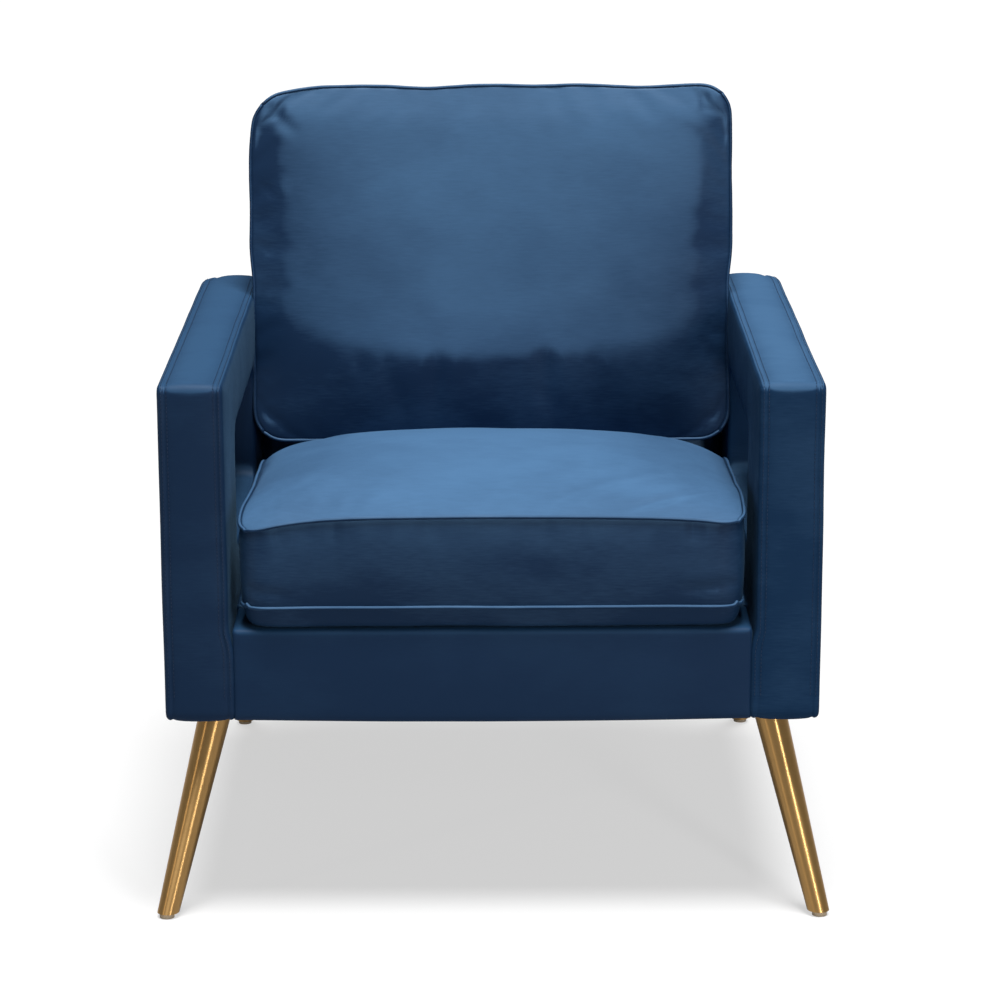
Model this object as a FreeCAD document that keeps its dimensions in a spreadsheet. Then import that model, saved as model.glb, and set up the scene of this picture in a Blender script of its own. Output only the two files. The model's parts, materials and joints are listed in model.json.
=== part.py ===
import FreeCAD, Part
import os
import re
import Sketcher

# Upholstered armchair: two padded arms with a window in each, a sprung seat box, a reclined back
# panel, four splayed tapered legs and two loose cushions with piped edges.
# Frame: +X to the right seen from the front, +Y to the back, +Z up.
# The origin is on the floor, midway between the outermost points of the chair. Millimetres.

doc = FreeCAD.newDocument("armchair")
sheet = doc.addObject("Spreadsheet::Sheet", "sizes")

# Driving dimensions. "front" is the Y of the arms' front faces; depths are measured from it.
DRIVING = [
    ("front", -356.0, "Y of the arms' front faces"),
    ("arm_inner", 298.5, "half the width between the arms"),
    ("arm_thickness", 71.5, "each arm over its cover"),
    ("arm_depth", 660.0, "front to back of an arm"),
    ("arm_height", 628.5, "top of the arms above the floor"),
    ("arm_round", 45.0, "rear outer corner of an arm, in plan"),
    ("body_bottom", 238.5, "underside of the upholstery"),
    ("window_front", 165.0, "depth at which the arm's window starts"),
    ("window_rear", 500.0, "depth at which the arm's window ends"),
    ("window_bottom", 400.0, "sill of the window"),
    ("window_top", 540.0, "head of the window"),
    ("cloth", 1.5, "covers"),
    ("arm_pad", 10.0, "foam round the arm's wood"),
    ("rail_top", 326.0, "top of the seat box's rails"),
    ("rail_outer", 296.0, "half the width of the seat box's wood"),
    ("rail_thickness", 22.0, "seat rails"),
    ("rail_face", 11.5, "depth of the front rail's wood"),
    ("rail_skin", 2.0, "depth of the front rail's cover"),
    ("skin_half", 297.9, "half the width of the seat and back covers"),
    ("box_rear", 650.0, "depth of the chair's back below the recline"),
    ("deck_top", 345.0, "cover under the seat cushion"),
    ("deck_lip", 100.0, "depth to which the front cover runs over the deck"),
    ("deck_rear", 563.0, "depth at which the deck meets the back panel"),
    ("spring_rail", 530.0, "depth of the rail that holds the springs' rear ends"),
    ("wire", 3.8, "spring wire"),
    ("recline", 12.8, "back panel and back cushion, degrees from upright"),
    ("back_face", 633.0, "depth of the back panel's face at arm height"),
    ("back_depth", 42.0, "thickness of the back panel"),
    ("back_rise", 222.0, "slope length of the back panel above arm height"),
    ("back_pad", 12.0, "foam on the back panel's face"),
    ("webbing", 2.0, "webbing under that foam"),
    ("side_pad", 6.0, "foam on the back panel's sides"),
    ("stile", 28.0, "width of a back stile"),
    ("leg_top_across", 318.0, "leg's axis at the underside, across"),
    ("leg_front_depth", 58.0, "front legs' axis at the underside, in depth"),
    ("leg_rear_depth", 631.0, "rear legs' axis at the underside, in depth"),
    ("front_splay_across", 59.0, "front tips further out than their tops"),
    ("front_splay_deep", 58.0, "front tips further forward than their tops"),
    ("rear_splay_across", 18.0, "rear tips further out than their tops"),
    ("rear_splay_deep", 81.0, "rear tips further back than their tops"),
    ("leg_top_radius", 18.75, "leg at the underside"),
    ("leg_tip_radius", 12.25, "leg at the floor"),
    ("leg_wall", 2.0, "leg's tube"),
    ("glide_radius", 8.5, "plastic glide under each leg"),
    ("glide_height", 6.0, "gap that the glide leaves under the leg"),
    ("glide_plug", 20.0, "glide's plug inside the leg"),
    ("plate_thickness", 3.0, "leg's mounting plate"),
    ("plate_inner", 278.0, "plate's edge nearest the middle"),
    ("plate_outer", 352.0, "plate's outer edge"),
    ("plate_half_depth", 26.0, "half the plate's depth"),
    ("plate_rear_depth", 625.0, "rear plates' middle, in depth"),
    ("screw_inner", 286.0, "inner pair of plate screws, across"),
    ("screw_outer", 342.0, "outer pair of plate screws, across"),
    ("screw_half_depth", 14.0, "half the spacing of a pair"),
    ("screw_radius", 2.25, "plate screws"),
    ("seat_half", 286.0, "half the seat cushion's width"),
    ("seat_front", -5.0, "depth of the seat cushion's front"),
    ("seat_rear", 560.0, "depth of the seat cushion's rear"),
    ("seat_under", 345.5, "seat cushion's underside"),
    ("seat_front_edge", 480.0, "top edge at its front"),
    ("seat_shoulder", 430.0, "depth where its crown ends"),
    ("seat_shoulder_top", 470.0, "height there"),
    ("seat_crown", 733.0, "radius of its crown, front to back"),
    ("seat_knee", 466.0, "depth where the back cushion starts to press it"),
    ("seat_cross_crown", 1590.0, "radius of its crown, side to side"),
    ("seat_crest", 509.0, "highest point of the crown"),
    ("seat_corner", 25.0, "upright corners"),
    ("rest_gap", 0.6, "clearance under the back cushion"),
    ("piping", 2.5, "radius of the piping on both cushions"),
    ("piping_gap", 0.3, "piping's clearance from the cushion"),
    ("cushion_half", 292.5, "half the back cushion's width"),
    ("cushion_length", 450.0, "back cushion over its piping, along the recline"),
    ("cushion_edge", 50.0, "half its thickness at its edges"),
    ("cushion_middle", 64.5, "half its thickness in the middle"),
    ("cushion_corner", 34.0, "its corners, seen from the front"),
    ("cushion_depth", 566.15, "depth of its middle plane at arm height"),
    ("cushion_foot", 437.0, "height of the foot of its middle plane"),
    ("zip_half", 240.0, "half the length of each zip"),
    ("zip_width", 8.0, "zip chain"),
    ("zip_thickness", 2.0, "zip chain"),
    ("slider", 14.0, "zip slider's length"),
    ("slider_gap", 0.3, "slider's clearance from its chain"),
]
for row, (alias, value, meaning) in enumerate(DRIVING, start=1):
    sheet.set(f"A{row}", alias)
    sheet.set(f"B{row}", str(value))
    sheet.set(f"C{row}", meaning)
    sheet.setAlias(f"B{row}", alias)
doc.recompute()
ALIASES = {alias for alias, value, meaning in DRIVING}
SIDES = (("left", -1), ("right", 1))


def with_sheet(formula):
    """A formula in the sheet's aliases, as the expression engine reads it."""
    return re.sub(r"[a-z_]+", lambda m: f"sizes.{m[0]}" if m[0] in ALIASES else m[0], str(formula))


def bind(thing, prop, formula):
    thing.setExpression(prop, with_sheet(formula))


def value_of(formula):
    """The present value of a formula, in millimetres or degrees."""
    return float(sheet.evalExpression(with_sheet(formula)))


def deep(depth):
    """The Y of a depth behind the arms' front faces."""
    return f"(front + {depth})"


def span(side, inner, outer):
    """The low and high X of a stretch that runs outward on one side of the chair."""
    return (inner, outer) if side > 0 else (f"-({outer})", f"-({inner})")


def block(name, x, y, z, frame=None):
    """A box from (low, high) formulas. A frame placement turns it with a reclined part."""
    board = doc.addObject("Part::Box", name)
    for prop, (low, high) in zip(("Length", "Width", "Height"), (x, y, z)):
        bind(board, prop, f"({high}) - ({low})")
    if frame is None:
        for axis, (low, high) in zip("xyz", (x, y, z)):
            bind(board, f"Placement.Base.{axis}", low)
    else:
        corner = FreeCAD.Vector(value_of(x[0]), value_of(y[0]), value_of(z[0]))
        board.Placement = frame.multiply(FreeCAD.Placement(corner, FreeCAD.Rotation()))
    return board


TURNS = {
    "x": FreeCAD.Rotation(FreeCAD.Vector(0, 1, 0), 90),
    "y": FreeCAD.Rotation(FreeCAD.Vector(1, 0, 0), -90),
    "z": FreeCAD.Rotation(),
}


def rod(name, along, start, radius, length, frame=None):
    """A cylinder from start (three formulas) along +X, +Y or +Z."""
    bar = doc.addObject("Part::Cylinder", name)
    bind(bar, "Radius", radius)
    bind(bar, "Height", length)
    if frame is None:
        bar.Placement = FreeCAD.Placement(FreeCAD.Vector(), TURNS[along])
        for axis, formula in zip("xyz", start):
            bind(bar, f"Placement.Base.{axis}", formula)
    else:
        foot = FreeCAD.Vector(*(value_of(formula) for formula in start))
        bar.Placement = frame.multiply(FreeCAD.Placement(foot, TURNS[along]))
    return bar


def combine(kind, name, base, tool):
    """A boolean of two objects: Part::Cut or Part::Common."""
    result = doc.addObject(kind, name)
    result.Base = base
    result.Tool = tool
    return result


def join(kind, name, pieces):
    """Part::MultiFuse and Part::MultiCommon take Shapes; Part::Compound takes Links."""
    result = doc.addObject(kind, name)
    if kind == "Part::Compound":
        result.Links = pieces
    else:
        result.Shapes = pieces
    return result


def outline(body, role, name, corners, arcs=None):
    """A closed sketch on one of the body's own planes. Each corner's two coordinates are formulas,
    and arcs gives the radius formula of the side that starts at a corner."""
    arcs = arcs or {}
    plane = next(f for f in body.Origin.OriginFeatures if f.Role == role)
    sketch = body.newObject("Sketcher::SketchObject", name)
    sketch.AttachmentSupport = [(plane, "")]
    sketch.MapMode = "FlatFace"
    points = [FreeCAD.Vector(value_of(a), value_of(b), 0) for a, b in corners]
    for i, start in enumerate(points):
        end = points[(i + 1) % len(points)]
        if i in arcs:
            sketch.addGeometry(bulging_arc(start, end, value_of(arcs[i])), False)
        else:
            sketch.addGeometry(Part.LineSegment(start, end), False)
    for i in range(len(points)):
        after = (i + 1) % len(points)
        sketch.addConstraint(Sketcher.Constraint("Coincident", i, 2, after, 1))
    for i, point in enumerate(points):
        for kind, value, formula in (("DistanceX", point.x, corners[i][0]), ("DistanceY", point.y, corners[i][1])):
            index = sketch.addConstraint(Sketcher.Constraint(kind, -1, 1, i, 1, value))
            sketch.renameConstraint(index, f"{kind}_{i}")
            bind(sketch, f"Constraints.{kind}_{i}", formula)
    for i, radius in arcs.items():
        index = sketch.addConstraint(Sketcher.Constraint("Radius", i, value_of(radius)))
        sketch.renameConstraint(index, f"radius_{i}")
        bind(sketch, f"Constraints.radius_{i}", radius)
    return sketch


def bulging_arc(start, end, radius):
    """The arc of that radius from start to end, bulging to the right of the way it runs."""
    half = (end - start).multiply(0.5)
    middle = start + half
    outward = FreeCAD.Vector(half.y, -half.x, 0).normalize()
    rise = radius - (radius**2 - half.Length**2) ** 0.5
    return Part.Arc(start, middle + outward * rise, end)


def rectangle(low, high, bottom, top):
    return [(low, bottom), (high, bottom), (high, top), (low, top)]


def extrude(body, sketch, name, length, cut=False):
    """Pads or pockets a sketch by a length centred on its plane."""
    feature = body.newObject("PartDesign::Pocket" if cut else "PartDesign::Pad", name)
    feature.Profile = sketch
    feature.Midplane = True
    bind(feature, "Length", length)
    return feature


def round_edges(body, name, radius, wanted):
    """Fillets the edges of the body's tip that a test picks by their middle and direction."""
    doc.recompute()
    base = body.Tip
    names = []
    for index, edge in enumerate(base.Shape.Edges, start=1):
        ends = [v.Point for v in edge.Vertexes]
        if len(ends) == 2 and wanted((ends[0] + ends[1]).multiply(0.5), ends[1] - ends[0]):
            names.append(f"Edge{index}")
    fillet = body.newObject("PartDesign::Fillet", name)
    fillet.Base = (base, names)
    bind(fillet, "Radius", radius)
    return fillet


# The library's parts, by node name.
NODES = {}


def keep(name, thing):
    thing.Label = name
    NODES[name] = thing
    return thing


# ---------------------------------------------------------------------------------------- arms


def arm_shape(name, side, inset, bottom):
    """The arm's block with its window, shrunk all round by inset, down to bottom."""
    body = doc.addObject("PartDesign::Body", name)
    faces = rectangle(
        f"front + {inset}", f"front + arm_depth - {inset}", bottom, f"arm_height - {inset}"
    )
    extrude(body, outline(body, "YZ_Plane", name + "_side", faces), name + "_slab",
            f"arm_thickness - 2 * {inset}")
    window = rectangle(
        f"front + window_front - {inset}", f"front + window_rear + {inset}",
        f"window_bottom - {inset}", f"window_top + {inset}",
    )
    extrude(body, outline(body, "YZ_Plane", name + "_window", window), name + "_opening",
            "2 * arm_thickness", cut=True)
    rear = value_of(f"front + arm_depth - {inset}")

    def rear_outer(middle, direction):
        return abs(middle.y - rear) < 0.01 and middle.x * side > 0 and abs(direction.z) > 100

    round_edges(body, name + "_round", f"arm_round - {inset}", rear_outer)
    bind(body, "Placement.Base.x", f"{side} * (arm_inner + arm_thickness / 2)")
    return body


WOOD = "(cloth + arm_pad)"
POST = f"(window_front - {WOOD})"
BOLT_DEPTHS = (90, 240, 420, 570)
BOLT_HEIGHT = "(body_bottom + 51.5)"
NUT_FACE = f"(arm_inner + arm_thickness - {WOOD})"


def arm_wood(word, side, wood):
    """Four boards round the window: two posts from bottom to top, and two rails between them."""
    low, high = span(side, "arm_inner", "arm_inner + arm_thickness")
    front_end = deep(POST)
    rear_end = deep(f"window_rear + {WOOD}")
    floor = "body_bottom"
    boards = {
        "arm_front_post": ((deep(0), front_end), (floor, "arm_height")),
        "arm_rear_post": ((rear_end, deep("arm_depth")), (floor, "arm_height")),
        "arm_top_rail": ((front_end, rear_end), (f"window_top + {WOOD}", "arm_height")),
        "arm_lower_rail": ((front_end, rear_end), (floor, f"window_bottom - {WOOD}")),
    }
    made = {}
    for name, (y, z) in boards.items():
        made[name] = combine(
            "Part::Common", f"{name}_{word}_blank", wood, block(f"{name}_{word}_zone", (low, high), y, z)
        )
    return made


def arm_foam_boards(word, side, outer, wood):
    """The arm's foam, cut from sheet: two faces in four boards each, strips round the outer edge
    and round the window, and a curved piece at the rear outer corner."""
    skin, core = "cloth", WOOD
    t0, t1 = f"arm_inner + {skin}", f"arm_inner + {core}"
    t2, t3 = f"arm_inner + arm_thickness - {core}", f"arm_inner + arm_thickness - {skin}"
    bend = "arm_inner + arm_thickness - arm_round"
    y_bend = deep("arm_depth - arm_round")
    y0, y1 = deep(skin), deep(core)
    y2, y3 = deep(f"window_front - {core}"), deep(f"window_front - {skin}")
    y4, y5 = deep(f"window_rear + {skin}"), deep(f"window_rear + {core}")
    y6, y7 = deep(f"arm_depth - {core}"), deep(f"arm_depth - {skin}")
    z0 = f"body_bottom + {skin}"
    z1, z2 = f"window_bottom - {core}", f"window_bottom - {skin}"
    z3, z4 = f"window_top + {skin}", f"window_top + {core}"
    z5, z6 = f"arm_height - {core}", f"arm_height - {skin}"
    zones = []
    for inner, outward, rear_limit in ((t0, t1, y7), (t2, t3, y_bend)):
        zones.append(((inner, outward), (y0, y3), (z0, z6)))
        zones.append(((inner, outward), (y4, rear_limit), (z0, z6)))
        zones.append(((inner, outward), (y3, y4), (z3, z6)))
        zones.append(((inner, outward), (y3, y4), (z0, z2)))
    zones.append(((t1, t2), (y0, y1), (z0, z6)))
    zones.append(((t1, bend), (y6, y7), (z0, z6)))
    zones.append(((t1, t2), (y1, y_bend), (z5, z6)))
    zones.append(((t1, bend), (y_bend, y6), (z5, z6)))
    zones.append(((t1, t2), (y2, y3), (z1, z4)))
    zones.append(((t1, t2), (y4, y5), (z1, z4)))
    zones.append(((t1, t2), (y3, y4), (z1, z2)))
    zones.append(((t1, t2), (y3, y4), (z3, z4)))
    boards = []
    for number, (x, y, z) in enumerate(zones):
        boards.append(block(f"arm_foam_{word}_board_{number}", span(side, *x), y, z))
    zone = block(f"arm_foam_{word}_corner_zone", span(side, bend, t3), (y_bend, y7), (z0, z6))
    corner = combine("Part::Common", f"arm_foam_{word}_corner_blank", outer, zone)
    boards.append(combine("Part::Cut", f"arm_foam_{word}_corner", corner, wood))
    return join("Part::Compound", f"arm_foam_{word}_boards", boards)


def arm_fixings(word, side):
    """Bolts from inside the seat box into tee nuts let into the outer face of the arm's wood."""
    start = "rail_outer - rail_thickness"
    bolts, nuts, holes = [], [], []
    for number, depth in enumerate(BOLT_DEPTHS):
        tag = f"{word}_{number}"

        def along(name, low, high, radius):
            x = span(side, low, high)[0]
            return rod(f"{name}_{tag}", "x", (x, deep(depth), BOLT_HEIGHT), radius, f"({high}) - ({low})")

        head = along("bolt_head", f"{start} - 5", start, 6.5)
        shank = along("bolt_shank", start, f"{NUT_FACE} - 4", 4)
        bolts.append(join("Part::MultiFuse", f"bolt_{tag}", [head, shank]))
        barrel = along("nut_barrel", f"{NUT_FACE} - 12", NUT_FACE, 5)
        flange = along("nut_flange", f"{NUT_FACE} - 1.5", NUT_FACE, 11)
        nut_blank = join("Part::MultiFuse", f"nut_blank_{tag}", [barrel, flange])
        bore = along("nut_bore", f"{NUT_FACE} - 13", f"{NUT_FACE} + 1", 4.1)
        nuts.append(combine("Part::Cut", f"nut_{tag}", nut_blank, bore))
        clearance = along("bolt_clearance", f"{start} - 1", f"{NUT_FACE} - 1", 4.5)
        holes.append(join("Part::MultiFuse", f"hole_{tag}", [clearance, nut_blank]))
    return bolts, nuts, join("Part::Compound", f"fixing_holes_{word}", holes)


# Plate screws: two into the side rail and two into the arm at each leg.
LEGS = []
for end, axis_depth, plate_depth in (
    ("front", "leg_front_depth", "leg_front_depth"),
    ("rear", "leg_rear_depth", "plate_rear_depth"),
):
    for word, side in SIDES:
        LEGS.append((f"{end}_{word}", end, side, axis_depth, plate_depth))
PLATE_UNDER = "(body_bottom - plate_thickness)"


def screw_places(side, plate_depth):
    for across in ("screw_inner", "screw_outer"):
        for sign in (-1, 1):
            yield f"{side} * {across}", deep(f"{plate_depth} + {sign} * screw_half_depth")


screws, pilot_holes = [], []
for place, end, side, axis_depth, plate_depth in LEGS:
    for number, (x, y) in enumerate(screw_places(side, plate_depth)):
        tag = f"{place}_{number}"
        head = rod(f"screw_head_{tag}", "z", (x, y, f"{PLATE_UNDER} - 2.4"), 4.4, 2.4)
        shank = rod(f"screw_shank_{tag}", "z", (x, y, PLATE_UNDER), "screw_radius", 30)
        screws.append(join("Part::MultiFuse", f"screw_{tag}", [head, shank]))
        pilot_holes.append(
            rod(f"pilot_{tag}", "z", (x, y, f"{PLATE_UNDER} - 1"), "screw_radius + 0.1", 32)
        )
keep("leg_plate_screws", join("Part::Compound", "plate_screws", screws))
PILOTS = join("Part::Compound", "pilot_holes", pilot_holes)

all_bolts, all_nuts, side_holes = [], [], {}
for word, side in SIDES:
    skin = arm_shape(f"arm_skin_{word}", side, "0", "body_bottom")
    pad = arm_shape(f"arm_pad_{word}", side, "cloth", "body_bottom + cloth")
    wood = arm_shape(f"arm_wood_{word}", side, WOOD, "body_bottom + cloth")
    bolts, nuts, holes = arm_fixings(word, side)
    all_bolts += bolts
    all_nuts += nuts
    side_holes[word] = holes
    for name, board in arm_wood(word, side, wood).items():
        bored = combine("Part::Cut", f"{name}_{word}_bored", board, holes)
        keep(f"{name}_{word}", combine("Part::Cut", f"{name}_{word}_piloted", bored, PILOTS))
    foam = arm_foam_boards(word, side, pad, wood)
    keep(f"arm_foam_{word}", combine("Part::Cut", f"arm_foam_{word}_bored", foam, holes))
    shell = combine("Part::Cut", f"arm_cover_{word}_shell", skin, pad)
    opened = combine("Part::Cut", f"arm_cover_{word}_bored", shell, holes)
    edge = f"arm_inner + {WOOD}"
    slot = block(
        f"arm_cover_{word}_slot", span(side, edge, NUT_FACE),
        (deep(WOOD), deep(f"arm_depth - {WOOD}")), ("body_bottom - 1", "body_bottom + cloth"),
    )
    keep(f"arm_cover_{word}", combine("Part::Cut", f"arm_cover_{word}_open", opened, slot))
keep("arm_bolts", join("Part::Compound", "bolts", all_bolts))
keep("arm_tee_nuts", join("Part::Compound", "nuts", all_nuts))

# ------------------------------------------------------------------------------------ seat box

BOX_FLOOR = "body_bottom + cloth"
BOX_WALL = (BOX_FLOOR, "rail_top")
FULL = ("-rail_outer", "rail_outer")
BETWEEN = ("-(rail_outer - rail_thickness)", "rail_outer - rail_thickness")
SIDE_FRONT = "rail_face + rail_thickness"
REAR_FACE = "box_rear - cloth - rail_thickness"


def drilled(name, board, tool):
    return keep(name, combine("Part::Cut", name + "_drilled", board, tool))


keep("seat_front_rail", block("front_rail", FULL, (deep("rail_face"), deep(SIDE_FRONT)), BOX_WALL))
rear_rail = block("rear_rail", FULL, (deep(REAR_FACE), deep("box_rear - cloth")), BOX_WALL)
drilled("seat_rear_rail", rear_rail, PILOTS)
for word, side in SIDES:
    x = span(side, "rail_outer - rail_thickness", "rail_outer")
    rail = block(f"side_rail_{word}", x, (deep(SIDE_FRONT), deep(REAR_FACE)), BOX_WALL)
    bored = combine("Part::Cut", f"side_rail_{word}_bored", rail, side_holes[word])
    drilled(f"seat_side_rail_{word}", bored, PILOTS)
spring_y = (deep("spring_rail"), deep("spring_rail + rail_thickness"))
keep("seat_spring_rail", block("cross_rail", BETWEEN, spring_y, BOX_WALL))


def corner_block(number, side, wall, run):
    """A triangular glue block in a corner of the box, between a side rail and an end rail."""
    inner = "(rail_outer - rail_thickness)"
    body = doc.addObject("PartDesign::Body", f"corner_block_{number}")
    corners = [
        (f"{side} * {inner}", wall),
        (f"{side} * ({inner} - 40)", wall),
        (f"{side} * {inner}", f"{wall} + {run}"),
    ]
    sketch = outline(body, "XY_Plane", f"corner_block_{number}_plan", corners)
    extrude(body, sketch, f"corner_block_{number}_pad", 60)
    bind(body, "Placement.Base.z", f"{BOX_FLOOR} + 30")
    return body


glue_blocks = []
for number, (side, wall, run) in enumerate(
    (side, wall, run)
    for word, side in SIDES
    for wall, run in ((deep(SIDE_FRONT), 40), (deep(REAR_FACE), -40))
):
    glue_blocks.append(corner_block(number, side, wall, run))
keep("corner_blocks", join("Part::Compound", "glue_blocks", glue_blocks))

SPRING_PITCH = 26.0
SPRING_RUN = 12.0
SPRING_PLACES = (-195, -65, 65, 195)


def spring_path(start, end, height):
    """A flat zigzag: straight runs across, joined by half turns, from front to back."""
    turns = int((end - start) / SPRING_PITCH)
    pitch = (end - start) / turns
    edges = []
    for i in range(turns + 1):
        y = start + i * pitch
        way = 1 if i % 2 == 0 else -1
        near = FreeCAD.Vector(-way * SPRING_RUN, y, height)
        far = FreeCAD.Vector(way * SPRING_RUN, y, height)
        edges.append(Part.LineSegment(near, far).toShape())
        if i < turns:
            next_y = far + FreeCAD.Vector(0, pitch, 0)
            bulge = far + FreeCAD.Vector(way * pitch / 2, pitch / 2, 0)
            edges.append(Part.Arc(far, bulge, next_y).toShape())
    return Part.Wire(edges)


SPRING_HEIGHT = "rail_top + wire / 2 + 0.1"
SPRING_START = "front + rail_face + rail_thickness / 2"
SPRING_END = "front + spring_rail + rail_thickness / 2"
path = spring_path(value_of(SPRING_START), value_of(SPRING_END), value_of(SPRING_HEIGHT))
first = path.OrderedVertexes[0].Point
section = Part.Wire(Part.makeCircle(value_of("wire / 2"), first, FreeCAD.Vector(1, 0, 0)))
zigzag = path.makePipeShell([section], True, True)
springs, clips = [], []
for number, across in enumerate(SPRING_PLACES):
    spring = doc.addObject("Part::Feature", f"spring_{number}")
    spring.Shape = zigzag
    spring.Placement = FreeCAD.Placement(FreeCAD.Vector(across, 0, 0), FreeCAD.Rotation())
    springs.append(spring)
    for end, y in (("front", SPRING_START), ("rear", SPRING_END)):
        saddle = block(
            f"clip_{end}_{number}", (f"{across} - 8", f"{across} + 8"), (f"{y} - 6", f"{y} + 6"),
            ("rail_top", "rail_top + wire + 1.5"),
        )
        x = f"{across} - 9"
        channel = rod(f"clip_{end}_{number}_channel", "x", (x, y, SPRING_HEIGHT), "wire / 2 + 0.05", 18)
        clips.append(combine("Part::Cut", f"clip_{end}_{number}_open", saddle, channel))
keep("seat_springs", join("Part::Compound", "springs", springs))
keep("spring_clips", join("Part::Compound", "clips", clips))

SKIN_X = ("-skin_half", "skin_half")
PAD_X = ("-rail_outer", "rail_outer")
PAD_TOP = "deck_top - cloth"
keep("deck_pad", block("pad", PAD_X, (deep("rail_face"), deep("deck_rear")), ("rail_top + 6", PAD_TOP)))
keep("deck_cover", block("deck", PAD_X, (deep("deck_lip"), deep("deck_rear")), (PAD_TOP, "deck_top")))
foam_y = (deep("rail_skin + cloth"), deep("rail_face"))
keep("front_rail_foam", block("rail_foam", PAD_X, foam_y, (BOX_FLOOR, PAD_TOP)))


def front_rail_cover():
    """The cover folds under the front rail, runs up its face and back over the deck."""
    outer = block("lip_outer", SKIN_X, (deep("rail_skin"), deep("deck_lip")), ("body_bottom", "deck_top"))
    inner = block(
        "lip_inner", ("-skin_half - 1", "skin_half + 1"),
        (deep("rail_skin + cloth"), deep("deck_lip + 1")), (BOX_FLOOR, PAD_TOP),
    )
    cover = combine("Part::Cut", "lip_cover", outer, inner)
    for word, side in SIDES:
        x = span(side, "plate_inner - 6", "skin_half + 1")
        relief = block(f"lip_relief_{word}", x, (deep("rail_face"), deep("deck_lip + 1")),
                       ("body_bottom - 1", BOX_FLOOR))
        cover = combine("Part::Cut", f"lip_cover_{word}", cover, relief)
    return cover


keep("front_rail_cover", front_rail_cover())


def dust_cover():
    """Black cloth under the box, cut away round the four leg plates."""
    cloth = block(
        "dust_sheet", ("-rail_outer + 4", "rail_outer - 4"), (deep("20"), deep("box_rear - 10")),
        ("body_bottom - 1", "body_bottom"),
    )
    for place, end, side, axis_depth, plate_depth in LEGS:
        x = span(side, "plate_inner - 2", "plate_outer")
        y = (deep(f"{plate_depth} - plate_half_depth - 2"), deep(f"{plate_depth} + plate_half_depth + 2"))
        notch = block(f"dust_notch_{place}", x, y, ("body_bottom - 2", "body_bottom + 1"))
        cloth = combine("Part::Cut", f"dust_sheet_{place}", cloth, notch)
    return cloth


keep("dust_cover", dust_cover())

# ---------------------------------------------------------------------------------- back panel

BACK_FRAME = FreeCAD.Placement(
    FreeCAD.Vector(0, value_of("front + back_face"), value_of("arm_height")),
    FreeCAD.Rotation(FreeCAD.Vector(1, 0, 0), -value_of("recline")),
)


def back_shape(name, face, rear, top, sides, bottom="rail_top"):
    """The back panel's block: a reclined face, a reclined rear that turns upright at box_rear, and
    insets from its face, rear, top and sides."""
    inner, outer = f"({face})", f"(back_depth - ({rear}))"
    rise = f"(back_rise - ({top}))"
    wall = f"(front + box_rear - ({rear}))"
    knee = f"arm_height + ({wall} - front - back_face - {outer} / cos(recline)) / tan(recline)"
    corners = [
        (f"front + back_face + ({bottom} - arm_height) * tan(recline) + {inner} / cos(recline)", bottom),
        (wall, bottom),
        (wall, knee),
        (f"front + back_face + {rise} * sin(recline) + {outer} * cos(recline)",
         f"arm_height + {rise} * cos(recline) - {outer} * sin(recline)"),
        (f"front + back_face + {rise} * sin(recline) + {inner} * cos(recline)",
         f"arm_height + {rise} * cos(recline) - {inner} * sin(recline)"),
    ]
    body = doc.addObject("PartDesign::Body", name)
    sketch = outline(body, "YZ_Plane", name + "_side", corners)
    extrude(body, sketch, name + "_pad", f"2 * (skin_half - ({sides}))")
    return body


def back_panel():
    edge = "(cloth + back_pad)"
    core = f"({edge} + webbing)"
    skin = back_shape("back_skin", "0", "cloth", "0", "0")
    hollow = back_shape("back_hollow", "cloth", "cloth", "cloth", "cloth")
    keep("back_inside_cover", combine("Part::Cut", "inside_cover", skin, hollow))

    sheet_outer = back_shape("rear_outer", "30", "0", "0", "0", "body_bottom")
    sheet_inner = back_shape("rear_inner", "20", "cloth", "-5", "-5", "body_bottom - 1")
    keep("back_outside_cover", combine("Part::Cut", "outside_cover", sheet_outer, sheet_inner))

    sides = "cloth + side_pad"
    wood = back_shape("back_wood", core, "cloth", edge, sides)
    cavity = back_shape("back_cavity", edge, "cloth", edge, sides)
    keep("back_foam", back_foam(hollow, cavity))
    depth = (deep("0"), deep("arm_depth + 200"))
    tall = ("rail_top", "arm_height + 400")
    for word, side in SIDES:
        x = span(side, f"skin_half - ({sides}) - stile", f"skin_half - ({sides})")
        zone = block(f"stile_zone_{word}", x, depth, tall)
        keep(f"back_stile_{word}", combine("Part::Common", f"stile_{word}", wood, zone))
    inside = f"skin_half - ({sides}) - stile"
    for name, y, low, high in (
        ("back_top_rail", depth, "arm_height + back_rise * cos(recline) - 100", "arm_height + 400"),
        ("back_bottom_rail", (deep(REAR_FACE), deep("box_rear")), "rail_top", "rail_top + 60"),
    ):
        zone = block(name + "_zone", (f"-({inside})", inside), y, (low, high))
        keep(name, combine("Part::Common", name + "_cut", wood, zone))

    strips = []
    for number, rise in enumerate((-240, -150, -60, 30, 120)):
        strips.append(block(
            f"web_{number}", ("-skin_half + 10", "skin_half - 10"), (edge, core), (rise, rise + 50),
            frame=BACK_FRAME,
        ))
    keep("back_webbing", join("Part::Compound", "webs", strips))


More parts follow.
